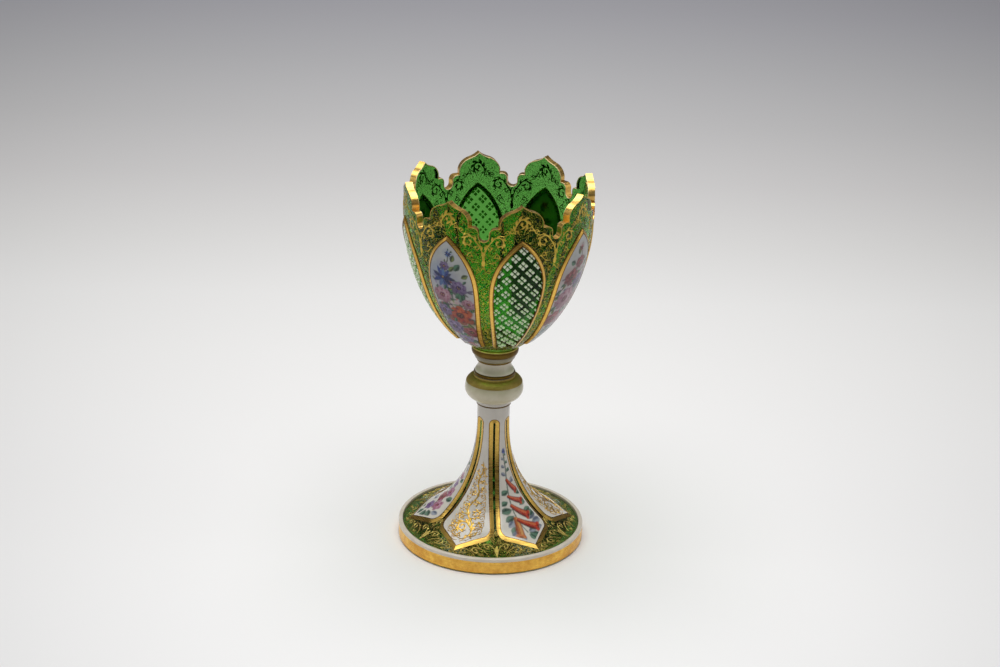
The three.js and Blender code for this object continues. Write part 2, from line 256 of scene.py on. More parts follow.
def bar(outline, first, last, azimuth, upright=False):
    """A bar of an outline in millimetres.

    Its outline is (across, height), and it runs out from the axis between two reaches. The outline of
    an upright bar is (outward, sideways), and it runs up between two heights.
    """
    bm = bmesh.new()
    if upright:
        corners, run = [(y, -x, first) for x, y in outline], (0, 0, last - first)
    else:
        corners, run = [(x, -first, z) for x, z in outline], (0, first - last, 0)
    face = bm.faces.new([bm.verts.new([c * MM for c in corner]) for corner in corners])
    moved = bmesh.ops.extrude_face_region(bm, geom=[face])["geom"]
    ends = [v for v in moved if isinstance(v, bmesh.types.BMVert)]
    bmesh.ops.translate(bm, verts=ends, vec=[c * MM for c in run])
    turned = Matrix.Rotation(math.radians(azimuth), 3, "Z")
    bmesh.ops.rotate(bm, verts=bm.verts, cent=(0, 0, 0), matrix=turned)
    bmesh.ops.recalc_face_normals(bm, faces=bm.faces)
    return bm


# %% Strips through lines
def put(verts, places):
    """Moves points to the given places."""
    for vert, place in zip(verts, places):
        vert.co = place


def lofted(lines, closed=False, marked=()):
    """A strip through equal lines of points in metres. Marked strips take the second material."""
    bm = bmesh.new()
    verts = [bm.verts.new(p) for p in lines[0]]
    pairs = list(zip(verts, verts[1:])) + ([(verts[-1], verts[0])] if closed else [])
    edges = [bm.edges.new(pair) for pair in pairs]
    for number, line in enumerate(lines[1:] + [lines[0]]):
        out = bmesh.ops.extrude_edge_only(bm, edges=edges)["geom"]
        for face in out:
            if isinstance(face, bmesh.types.BMFace):
                face.material_index = int(number in marked)
        edges = [e for e in out if isinstance(e, bmesh.types.BMEdge)]
        put([v for v in out if isinstance(v, bmesh.types.BMVert)], line)
    bmesh.ops.remove_doubles(bm, verts=bm.verts, dist=1e-8)
    if not closed:
        bmesh.ops.holes_fill(bm, edges=[e for e in bm.edges if e.is_boundary], sides=0)
    bmesh.ops.recalc_face_normals(bm, faces=bm.faces)
    return bm


# %% [markdown]
# ## Finishes
# Clear green glass, opaque white glass, enamel and burnished gold cover the goblet. Shared effects
# are node groups that put out colours and values only.


# %% Node helpers
def feed(target, values):
    """Sets or links a node's inputs."""
    for key, value in values.items():
        socket = target.inputs[key]
        if isinstance(value, bpy.types.NodeSocket):
            target.id_data.links.new(value, socket)
        else:
            socket.default_value = value


def node(tree, kind, values=None, **settings):
    """A node of a kind, with its settings and inputs."""
    made = tree.nodes.new("ShaderNode" + kind)
    for key, value in settings.items():
        setattr(made, key, value)
    feed(made, values or {})
    return made


def group(name, inputs, outputs):
    """An empty node group with named sockets: its tree, what comes in, and its last node."""
    tree = bpy.data.node_groups.new(name, "ShaderNodeTree")
    for label, value in inputs.items():
        kind = "Float" if isinstance(value, float) else "Color"
        socket = tree.interface.new_socket(label, in_out="INPUT", socket_type="NodeSocket" + kind)
        socket.default_value = value
    for label, kind in outputs.items():
        tree.interface.new_socket(label, in_out="OUTPUT", socket_type="NodeSocket" + kind)
    return tree, tree.nodes.new("NodeGroupInput").outputs, tree.nodes.new("NodeGroupOutput")


def own_place(tree):
    """The piece's own coordinates."""
    return node(tree, "TexCoord").outputs["Object"]


def noise(tree, place, scale, detail, **more):
    """Cloudy noise from 0 to 1."""
    return node(tree, "TexNoise", {"Vector": place, "Scale": scale, "Detail": detail, **more}).outputs["Fac"]


def maths(tree, operation, *values):
    """What a sum makes of its values."""
    return node(tree, "Math", dict(enumerate(values)), operation=operation).outputs[0]


def spread(tree, value, low, high, first=0.0, last=1.0):
    """A value taken from one range to another and held inside it."""
    ends = {"From Min": low, "From Max": high, "To Min": first, "To Max": last}
    return node(tree, "MapRange", {"Value": value, **ends}).outputs[0]


def mixed(tree, amount, a, b, way="MIX"):
    """Two colours mixed by an amount."""
    values = {"Factor": amount, "A": a, "B": b}
    return node(tree, "Mix", values, data_type="RGBA", blend_type=way).outputs["Result"]


def bump(tree, height, depth, strength):
    """A normal that follows a height whose depth is in millimetres."""
    return node(tree, "Bump", {"Height": height, "Distance": depth * MM, "Strength": strength}).outputs[0]


def material_of(name, **values):
    """A material with a Principled shader whose plain values are set."""
    made = bpy.data.materials.new(name)
    made.use_nodes = True
    shader = made.node_tree.nodes["Principled BSDF"]
    feed(shader, {key.replace("_", " "): value for key, value in values.items()})
    return made, made.node_tree, shader


# %% Burnished gold, with brush streaks and rubbed places
burnish, given, result = group(
    "burnish",
    {"Bright": (0.8, 0.5, 0.14, 1), "Rubbed": (0.42, 0.2, 0.05, 1), "Wear": 0.5, "Dull": 0.0},
    {"Color": "Color", "Roughness": "Float", "Height": "Float"},
)
place = own_place(burnish)
flecks = noise(burnish, place, 420.0, 5.0, Roughness=0.6)
patches = noise(burnish, place, 110.0, 3.0)
long_way = node(burnish, "Mapping", {"Vector": place, "Scale": (120.0, 120.0, 1900.0)}).outputs[0]
streaks = noise(burnish, long_way, 1.0, 3.0)
worn = spread(burnish, maths(burnish, "MULTIPLY", patches, flecks), 0.36, 0.16)
rubbed_off = maths(burnish, "MULTIPLY", worn, given["Wear"])
rough = spread(burnish, streaks, 0.3, 0.7, 0.2, 0.42)
feed(
    result,
    {
        "Color": mixed(burnish, rubbed_off, given["Bright"], given["Rubbed"]),
        "Roughness": maths(burnish, "ADD", rough, given["Dull"]),
        "Height": maths(burnish, "ADD", streaks, flecks),
    },
)


def gold(name, bright, rubbed, wear, dents, dull):
    """A gilding material. The depth of its dents is in millimetres."""
    made, tree, shader = material_of(name, Metallic=1.0)
    values = {"Bright": (*bright, 1), "Rubbed": (*rubbed, 1), "Wear": wear, "Dull": dull}
    effect = node(tree, "Group", values, node_tree=burnish).outputs
    feed(
        shader,
        {
            "Base Color": effect["Color"],
            "Roughness": effect["Roughness"],
            "Normal": bump(tree, effect["Height"], dents, 0.6),
        },
    )
    return made


# %% Twelve golds
# Bright colour, rubbed colour, wear, depth of the dents and dullness
GOLDS = {
    "rim": ((0.9, 0.6, 0.16), (0.5, 0.24, 0.05), 0.45, 0.02, 0.0),
    # The bead gold is pale as a painted highlight along the rim's inner edge
    "bead": ((0.98, 0.86, 0.52), (0.9, 0.66, 0.3), 0.3, 0.02, 0.3),
    "bevel": ((0.8, 0.5, 0.11), (0.56, 0.31, 0.06), 0.5, 0.02, 0.0),
    "slot": ((0.64, 0.42, 0.1), (0.44, 0.26, 0.05), 0.5, 0.006, 0.0),
    "edge": ((0.2, 0.1, 0.02), (0.09, 0.04, 0.01), 0.6, 0.02, 0.0),
    "band": ((0.9, 0.55, 0.11), (0.6, 0.28, 0.05), 0.8, 0.03, 0.0),
    # The dark gold is painted shade: a darkened gold for the thin rings under the bowl and between the parts
    # of the stem
    "dark": ((0.18, 0.11, 0.02), (0.08, 0.045, 0.01), 0.7, 0.02, 0.15),
    "olive": ((0.5, 0.38, 0.11), (0.3, 0.2, 0.05), 0.6, 0.02, 0.3),
    "pen": ((0.8, 0.5, 0.1), (0.45, 0.24, 0.04), 0.6, 0.03, 0.05),
    "scroll": ((0.66, 0.47, 0.09), (0.38, 0.25, 0.03), 0.6, 0.03, 0.05),
    "foot": ((0.54, 0.42, 0.12), (0.36, 0.26, 0.07), 0.6, 0.03, 0.2),
    # The soft gold is a painted highlight: a lighter line laid round the dark merese ring
    "soft": ((0.62, 0.44, 0.17), (0.4, 0.26, 0.08), 0.6, 0.02, 0.3),
}
golds = {name: gold(f"{name}_gold", *look) for name, look in GOLDS.items()}
print("gold finishes made:", len(golds))

# %% Clouds, as in any old glass
clouds, given, result = group(
    "clouds",
    {"Low": (0.5, 0.5, 0.5, 1), "High": (0.6, 0.6, 0.6, 1), "Scale": 140.0, "Detail": 4.0},
    {"Color": "Color", "Height": "Float"},
)
cloud = noise(clouds, own_place(clouds), given["Scale"], given["Detail"])
tone = mixed(clouds, spread(clouds, cloud, 0.3, 0.7), given["Low"], given["High"])
feed(result, {"Color": tone, "Height": cloud})
print("clouds made")


def cloudy(tree, low, high, scale=140.0, detail=4.0):
    """Clouds between two tones: their colour and their height."""
    values = {"Low": (*low, 1), "High": (*high, 1), "Scale": scale, "Detail": detail}
    return node(tree, "Group", values, node_tree=clouds).outputs


# %% Clear green glass
GLASS_SHINE = (0.15, 0.25, 0.12, 1.0)


def glass_of(name, low, high, shadow, roughness=0.015, ripples=0.35):
    """Clear glass with clouds in its green, whose shadow lets some light through."""
    made, tree, shader = material_of(
        name, Transmission_Weight=1.0, Roughness=roughness, IOR=1.5, Specular_Tint=GLASS_SHINE, Metallic=0.0
    )
    ripple = cloudy(tree, low, high, 90.0, 1.0)["Height"]
    green = cloudy(tree, low, high, 45.0, 2.0)["Color"]
    feed(shader, {"Base Color": green, "Normal": bump(tree, ripple, 0.12, ripples)})
    lamp_way = node(tree, "BsdfTransparent", {"Color": (*shadow, 1)}).outputs[0]
    for_lamps = node(tree, "LightPath").outputs["Is Shadow Ray"]
    choice = node(tree, "MixShader", {0: for_lamps, 1: shader.outputs[0], 2: lamp_way}).outputs[0]
    feed(tree.nodes["Material Output"], {"Surface": choice})
    return made


glass = glass_of("green_glass", (0.105, 0.385, 0.06), (0.14, 0.45, 0.083), (0.5, 0.6, 0.38))
deep_look = (0.05, 0.22, 0.025), (0.08, 0.29, 0.04), (0.45, 0.52, 0.32)
deep_glass = glass_of("deep_green_glass", *deep_look, roughness=0.12, ripples=0.1)
print("glass made")


# %% Opaque white glass
def white_of(name, low, high, roughness=0.14, scale=140.0):
    """An opaque white glass."""
    made, tree, shader = material_of(name, Roughness=roughness, IOR=1.5, Metallic=0.0)
    effect = cloudy(tree, low, high, scale)
    feed(shader, {"Base Color": effect["Color"], "Normal": bump(tree, effect["Height"], 0.04, 0.3)})
    return made


WHITE = (0.6, 0.56, 0.5), (0.7, 0.66, 0.6)
white = white_of("white_overlay", *WHITE)
# The shaded white is painted shade: a darkened copy of the white for the merese disc under the bowl
shaded_white = white_of("shaded_white", (0.22, 0.19, 0.115), (0.28, 0.245, 0.16))
cream_white = white_of("cream_white", (0.62, 0.55, 0.46), (0.72, 0.65, 0.56))
collar_white = white_of("collar_white", (0.62, 0.56, 0.44), (0.74, 0.67, 0.54))
opal = white_of("opal_overlay", (0.52, 0.47, 0.32), (0.63, 0.575, 0.43), 0.1, 160.0)
lattice_white = white_of("lattice_white", (0.6, 0.66, 0.5), (0.8, 0.85, 0.66), 0.2, 300.0)
print("white glass made")

# %% Enamel painting over white
enamel, given, result = group("enamel", {"Bare": (0.5, 0.5, 0.5, 1)}, {"Color": "Color", "Height": "Float"})
layer = node(enamel, "VertexColor", layer_name="enamel").outputs
cover = spread(enamel, noise(enamel, own_place(enamel), 1500.0, 3.0), 0.3, 0.7, 0.9, 1.0)
thick = maths(enamel, "MULTIPLY", cover, layer["Alpha"])
feed(result, {"Color": mixed(enamel, thick, given["Bare"], layer["Color"]), "Height": thick})


def painted(name, low, high):
    """White with the sheet's own enamel colours over it."""
    made, tree, shader = material_of(name, Roughness=0.22, IOR=1.5, Specular_IOR_Level=0.25, Metallic=0.0)
    bare = cloudy(tree, low, high)["Color"]
    effect = node(tree, "Group", {"Bare": bare}, node_tree=enamel).outputs
    feed(shader, {"Base Color": effect["Color"], "Normal": bump(tree, effect["Height"], 0.08, 0.5)})
    return made


# The flower windows' white is darker than the white overlay elsewhere: painted shade
flower_enamel = painted("flower_enamel", (0.36, 0.37, 0.36), (0.46, 0.47, 0.46))
sleeve_enamel = painted("sleeve_enamel", *WHITE)

# %% Worm lines of fine gold
worms, given, result = group(
    "worm_lines", {"Scale": 620.0, "Start": 0.07, "Full": 0.08, "Widen Low": 0.0}, {"Line": "Float"}
)
place = own_place(worms)
rings = maths(worms, "PINGPONG", noise(worms, place, given["Scale"], 0.6, Distortion=0.5), 0.085)
height = node(worms, "SeparateXYZ", {0: place}).outputs["Z"]
widened = maths(worms, "MULTIPLY_ADD", spread(worms, height, 0.142, 0.118), given["Widen Low"], rings)
feed(result, {"Line": spread(worms, widened, given["Start"], given["Full"])})


def worm_gold(name, bright, rubbed, *line):
    """A gold film that is clear but for its worm lines."""
    made = gold(name, bright, rubbed, 0.6, 0.02, 0.15)
    values = dict(zip(("Scale", "Start", "Full", "Widen Low"), line))
    lines = node(made.node_tree, "Group", values, node_tree=worms).outputs["Line"]
    feed(made.node_tree.nodes["Principled BSDF"], {"Alpha": lines})
    return made


bowl_worms = worm_gold("bowl_worm_gold", (0.46, 0.42, 0.05), (0.27, 0.2, 0.03), 520.0, 0.069, 0.078, 0.016)
foot_worms = worm_gold("foot_worm_gold", (0.4, 0.31, 0.07), (0.26, 0.19, 0.04), 640.0, 0.067, 0.076, 0.0)
print("enamel and worm lines made")

# %% [markdown]
# ## The rim
# Eight ogee lobes and eight keyhole notches are cut through the wall. The air of one lobe and one
# notch is drawn once as an outline, run outwards as a bar, and repeated round the bowl. The bars are
# joined, so that one cut shapes the glass and another leaves the thin gold on the cut faces.

# %% Air that shapes the rim
FRONT_LOBE = 14.1
LOBE_HALF, STEP_DROP = 9.7, 9.9
NOTCH_DROP, NOTCH_RADIUS = 16, 2.3
ROUND_ACROSS, ROUND_RADIUS = 4.7, 2.4
PAST = BOWL_RADIUS * math.sin(math.radians(23.5))


def lobe_line(depth):
    """Outline (across, height) of one lobe, from step to step, taken down by a depth."""
    top, step = RIM_TOP, RIM_TOP - STEP_DROP
    hollow = curve((0, top), (1.35, top - 1.25), (2.9, top - 2.1), (4.6, top - 2.6), 7)
    shoulder = curve((4.6, top - 2.6), (7.4, top - 3.4), (9.0, top - 5.1), (LOBE_HALF, top - 7.6), 9)
    half = hollow + shoulder[1:] + [(LOBE_HALF, step), (PAST, step)]
    return offset_line([(-x, z) for x, z in half[:0:-1]] + half, depth)


def notch_line(depth):
    """Outline (across, height) of one notch from shoulder to shoulder, widened by a depth."""
    bottom, corner = RIM_TOP - NOTCH_DROP + NOTCH_RADIUS, RIM_TOP - STEP_DROP - ROUND_RADIUS
    line = arc(-ROUND_ACROSS, corner, ROUND_RADIUS - depth, 90, 0, 8)
    line += arc(0, bottom, NOTCH_RADIUS + depth, 180, 360, 14)
    return line + arc(ROUND_ACROSS, corner, ROUND_RADIUS - depth, 180, 90, 8)


def rim_air(depth):
    """All the air above the rim, taken down into the glass by a depth."""
    top = RIM_TOP + 3
    lobe = [(PAST, top), (-PAST, top)] + lobe_line(depth)
    notch = [(ROUND_ACROSS, top), (-ROUND_ACROSS, top)] + notch_line(depth)
    bars = []
    for i in range(8):
        for outline, azimuth in ((lobe, 45 * i), (notch, 45 * i + 22.5)):
            bars.append(bar(outline, 20, BOWL_RADIUS + 3, FRONT_LOBE + azimuth))
    return combined(bars[0], bars[1:], "UNION")


print("the rim is cut", NOTCH_DROP, "mm deep")


# %% Bowl and the gold on its rim
WALL, CUP_FLOOR = 3, 100.2
GLASS_CUT, GILT_CUT, BEAD_RADIUS = 0.18, 0.16, 0.26


def bowl_blank():
    """The bowl before its rim is cut."""
    wall = [p for p in offset_line(bowl_points, -WALL) if p[1] > BOWL_BASE + 9.5]
    wall[-1] = (wall[-1][0], RIM_TOP)
    floor = curve((8, CUP_FLOOR), (10.5, CUP_FLOOR), (12.6, 101.0), wall[0], 8)
    return spun([(0, BOWL_BASE)] + bowl_points + wall[::-1] + floor[-2::-1] + [(0, CUP_FLOOR)], 256)


def rim_bead(wall, thick):
    """Lines of a thin round bead that follows the cut edge of one face of the wall."""
    path = []
    for i in range(8):
        for line, azimuth in ((lobe_line(thick)[1:-1], 45 * i), (notch_line(thick), 45 * i + 22.5)):
            for x, z in line:
                r = radius_at(wall, z)
                angle = math.radians(FRONT_LOBE + azimuth) + math.asin(x / r)
                path.append((r * math.sin(angle), -r * math.cos(angle), z))
    path = np.array(path)
    ahead = np.roll(path, -1, axis=0) - np.roll(path, 1, axis=0)
    ahead /= np.linalg.norm(ahead, axis=1)[:, None]
    outward = path * [1, 1, 0]
    outward /= np.linalg.norm(outward, axis=1)[:, None]
    upward = np.cross(ahead, outward)
    lines = []
    for turn in np.radians(np.arange(0, 360, 60)):
        spots = path + thick * (math.cos(turn) * outward + math.sin(turn) * upward)
        lines.append([Vector(p) * MM for p in spots])
    return lines


air = rim_air(GLASS_CUT)
bowl = combined(bowl_blank(), [air.copy()], "DIFFERENCE")
bowl = finished(bowl, "bowl_glass", glass, "green_glass", "bowl")
gilt = combined(combined(bowl_blank(), [rim_air(GILT_CUT)], "INTERSECT"), [rim_air(0.0)], "DIFFERENCE")
rim = finished(gilt, "rim_gilt", golds["rim"], "gilding", "rim_gilding")
inner_wall = np.array(offset_line(bowl_points, -WALL))
inner_wall[-1, 1] = RIM_TOP
# A rounded bead on the inner cut edge, whose pale gold is a painted highlight along the rim
bead = lofted(rim_bead(inner_wall, BEAD_RADIUS), closed=True)
finished(bead, "rim_inner_highlight_bead", golds["bead"], "gilding")
print("bowl faces", face_count(bowl), "rim faces", face_count(rim))

# %% [markdown]
# ## Windows of the bowl
# Each window is a pointed panel with a gilt bevel round it. The bevel slopes from the top of the
# white down to the green, so it is lofted: one outline is extruded through a few offsets, each with
# its own height above the glass.

# %% Outline of a window
WINDOW_HALF, WINDOW_RISE, WINDOW_WIDEST, WINDOW_FOOT = 12.4, 23.0, 136.0, 101.5


def window_line(inset, steps=14):
    """Outline of a window (across, height), drawn in by an inset, from one foot over the tip."""
    arch_radius = (WINDOW_RISE**2 + WINDOW_HALF**2) / (2 * WINDOW_HALF)
    arch_angle = math.degrees(math.asin(WINDOW_RISE / arch_radius))
    foot, pull, widest = (5.7, WINDOW_FOOT), (WINDOW_HALF, 123.0), (WINDOW_HALF, WINDOW_WIDEST)
    low, high = ([(a + b * 2) / 3 for a, b in zip(end, pull)] for end in (foot, widest))
    right = curve(foot, low, high, widest, steps)
    right += arc(WINDOW_HALF - arch_radius, WINDOW_WIDEST, arch_radius, 0, arch_angle, steps)[1:]
    right[-1] = (0.0, right[-1][1])
    edge = offset_line(right + [(-x, z) for x, z in right[-2::-1]], -inset)
    edge[0], edge[-1] = (edge[0][0], WINDOW_FOOT), (edge[-1][0], WINDOW_FOOT)
    return edge


def on_bowl(points, out):
    """(across, height) points as seen from outside, as flat points (round, along, out)."""
    flat = []
    for x, z in points:
        r = radius_at(bowl_side, z)
        flat.append((r * math.asin(x / r), along_at(bowl_side, z), out))
    return flat


def bevel(lines, dark, name, material, node_name):
    """A gilt border lofted through lines, with darker gold on some strips."""
    border = lofted(lines, marked=dark)
    finished(border, name, material, "gilding", node_name, crisp=30, second=golds["edge"])


# Each line of the bevel: how far it is drawn in, and its height above the glass
BEVEL = [(0.0, 0.0), (0.0, 0.12), (0.32, 0.4), (1.1, 0.78), (1.5, 0.94), (1.95, 1.0), (2.0, 0.2), (1.0, 0.02)]
for i in range(8):
    lines = [laid(bowl_side, FRONT_LOBE + 45 * i, on_bowl(window_line(inset), out)) for inset, out in BEVEL]
    bevel(lines, (0, 1, 4, 5), f"window_bevel_{i + 1}", golds["bevel"], f"panel_border_{i + 1}")
print("eight window bevels made")


# %% Half width of a window at each height
def window_half(inset):
    """Rows of (along, half width round the bowl) of a window, for looking up."""
    half = [p for p in window_line(inset, 40) if p[0] >= 0]
    return np.array(sorted((v, u) for u, v, _ in on_bowl(half, 0)))


def half_at(table, along, beyond=None):
    """Half width at a length along, from such rows, or another value beyond their end."""
    return np.interp(along, table[:, 0], table[:, 1], right=beyond)


SHEET_EDGE, LATTICE_EDGE = window_half(1.7), window_half(1.75)
print("window half width at its widest:", round(float(window_half(0)[:, 1].max()), 2), "mm")

# %% [markdown]
# ## Lattice windows
# The wheel leaves the white standing as little squares, in groups of four with a fine dark cross
# between them. One square is a low pyramid with its top cut off, so a cone with four sides makes
# it. The groups are set in staggered rows that get a little smaller towards the foot.

# %% Squares of a lattice window
TOP_ROW, ROW_STEP, COLUMN_STEP, OFF_CENTRE = 69.9, 3.7, 3.43, 0.95
SQUARE_STEP, SQUARE_BASE, SQUARE_TOP, SQUARE_HEIGHT = 1.3, 0.99, 0.86, 0.66


def lattice_groups():
    """Places (round, along, scale) of the groups of four."""
    groups = []
    along = TOP_ROW
    for row in range(20):
        scale = 1 - 0.009 * row
        for column in range(-4, 5):
            if (row + column) % 2 == 0:
                groups.append((OFF_CENTRE + COLUMN_STEP * scale * column, along, scale))
        along -= ROW_STEP * (1 - 0.011 * row)
    return groups


rng = np.random.default_rng(3)
squares = bmesh.new()
for u, v, scale in lattice_groups():
    for du, dv in ((0, 1), (0, -1), (1, 0), (-1, 0)):
        x, y = u + SQUARE_STEP * du * scale, v + SQUARE_STEP * dv * scale
        if y <= LATTICE_EDGE[0, 0] or abs(x) >= half_at(LATTICE_EDGE, y, -9) + 0.25:
            continue
        size = scale * rng.uniform(0.95, 1.05) * (0.78 + 0.22 * min(1, max(0, (v - 52) / 14)))
        sizes = {"radius1": SQUARE_BASE * size, "radius2": SQUARE_TOP * size, "depth": SQUARE_HEIGHT}
        tile = bmesh.ops.create_cone(squares, cap_ends=True, segments=4, matrix=Matrix(), **sizes)
        bmesh.ops.translate(squares, verts=tile["verts"], vec=(x, y, 0.42))
for i in range(4):
    tiles = squares.copy()
    put(tiles.verts, laid(bowl_side, FRONT_LOBE + 90 * i, [v.co for v in squares.verts]))
    name, panel = f"lattice_squares_{i + 1}", f"lattice_panel_{i + 1}"
    made = finished(tiles, name, lattice_white, "white_overlay", panel)
print("lattice faces in each window:", face_count(made))

# %% [markdown]
# ## Painted flowers
# The painter laid soft enamel colours on the white. Here a fine sheet lies in each window, every
# point of it holds a colour, and each stroke of the brush mixes its colour in around one place.


# %% Sheets to paint on
def sheet_on(table, azimuth, edge, grid, out, name, material, *nodes):
    """A fine sheet of an outline laid on a side: its mesh and its flat points (round, along)."""
    bm = bmesh.new()
    bmesh.ops.create_grid(bm, x_segments=grid[0], y_segments=grid[1], size=1)
    unit = np.array([v.co for v in bm.verts])
    low, high = edge[0, 0], edge[-1, 0]
    along = low + (high - low) * (unit[:, 1] + 1) / 2
    flat = np.column_stack([unit[:, 0] * half_at(edge, along), along])
    put(bm.verts, laid(table, azimuth, np.column_stack([flat, np.full(len(flat), out)])))
    return finished(bm, name, material, "white_overlay", *nodes).data, flat


# %% Enamel colours and brush strokes
# Dark, plain and light tone of each hue
HUES = {
    "blue": ((22, 34, 100), (48, 72, 160), (116, 140, 204)),
    "violet": ((78, 44, 104), (122, 82, 148), (178, 146, 196)),
    "pink": ((136, 58, 96), (192, 112, 148), (228, 176, 200)),
    "red": ((104, 16, 8), (196, 48, 22), (234, 116, 64)),
    "crimson": ((92, 16, 34), (156, 44, 62), (208, 110, 122)),
    "orange": ((158, 70, 24), (212, 116, 48), (240, 176, 104)),
    "teal": ((22, 66, 56), (54, 108, 86), (112, 156, 130)),
    "olive": ((62, 70, 22), (110, 116, 48), (164, 166, 96)),
    "grey": ((84, 96, 120), (136, 148, 168), (184, 190, 204)),
}
HUES = {name: [0.68 * (np.array(c) / 255) ** 2.2 for c in tones] for name, tones in HUES.items()}
print("hues mixed:", len(HUES))


class Enamel:
    """The paint on a sheet: a colour and a cover at each of its flat points."""

    def __init__(self, flat, seed):
        self.u, self.v = flat[:, 0], flat[:, 1]
        self.colour = np.ones((len(flat), 3)) * 0.5
        self.cover = np.zeros(len(flat))
        self.rng = np.random.default_rng(seed)

    def dab(self, x, y, length, width, turn, colour, strength, pointed=False):
        """One stroke of the brush, oval or pointed, laid over what is there."""
        a = math.radians(turn)
        du, dv = self.u - x, self.v - y
        p = (du * math.cos(a) + dv * math.sin(a)) / length
        q = (dv * math.cos(a) - du * math.sin(a)) / width
        if pointed:
            q = q / np.clip(1 - p * p, 0.04, 1)
        amount = strength * np.clip(1.9 * (1 - p * p - q * q), 0, 1)
        mix = amount / np.maximum(1 - (1 - amount) * (1 - self.cover), 1e-6)
        self.colour += (np.asarray(colour) - self.colour) * mix[:, None]
        self.cover = 1 - (1 - amount) * (1 - self.cover)

    def wash(self, x, y, size, hue):
        """A thin cloud of a light tone behind a flower."""
        for _ in range(5):
            dx, dy = self.rng.uniform(-0.5, 0.5, 2) * size
            self.dab(x + dx, y + dy, size, size * 0.7, self.rng.uniform(0, 180), HUES[hue][2], 0.11)

    def leaf(self, x, y, length, turn, hue, width=0.3):
        """A pointed leaf, light on one side of its middle and dark on the other."""
        a = math.radians(turn)
        mid = polar(x, y, length / 2, a)
        dark, plain, light = HUES[hue]
        self.dab(*mid, length / 2, length * width, turn, plain * self.rng.uniform(0.75, 1.2), 0.9, True)
        side = self.rng.choice((-1, 1))
        dx, dy = -math.sin(a) * length * width * 0.35 * side, math.cos(a) * length * width * 0.35 * side
        self.dab(mid[0] + dx, mid[1] + dy, length * 0.4, length * width * 0.4, turn, light, 0.65, True)
        self.dab(mid[0] - dx, mid[1] - dy, length * 0.42, length * width * 0.36, turn, dark, 0.75, True)

    def stem(self, points, hue="olive", width=0.28):
        """A thin stem along a line."""
        points = np.array(points, dtype=float)
        run = np.concatenate([[0], np.cumsum(np.hypot(*np.diff(points, axis=0).T))])
        for t in np.arange(0, run[-1], 0.45):
            x, y = (np.interp(t, run, points[:, k]) for k in range(2))
            self.dab(x, y, 0.5, width, 0, HUES[hue][0 if self.rng.random() < 0.5 else 1], 0.7)

    def onto(self, mesh):
        """Writes the colours into the sheet's own colour attribute."""
        layer = mesh.color_attributes.new("enamel", "FLOAT_COLOR", "POINT")
        layer.data.foreach_set("color", np.column_stack([self.colour, self.cover]).ravel())


# %% Flowers
# Reach, length and width of the petals in each ring of a blossom, and strokes of a bell: tone,
# width, push to one side and strength
PETALS = ((0.62, 0.44, 0.36), (0.5, 0.36, 0.3), (0.32, 0.28, 0.24), (0.14, 0.2, 0.18))
BELL_STROKES = ((0, 1.2, 0, 0.9), (1, 0.92, 0.1, 0.9), (0, 0.3, -0.62, 0.6), (2, 0.34, 0.4, 0.7))


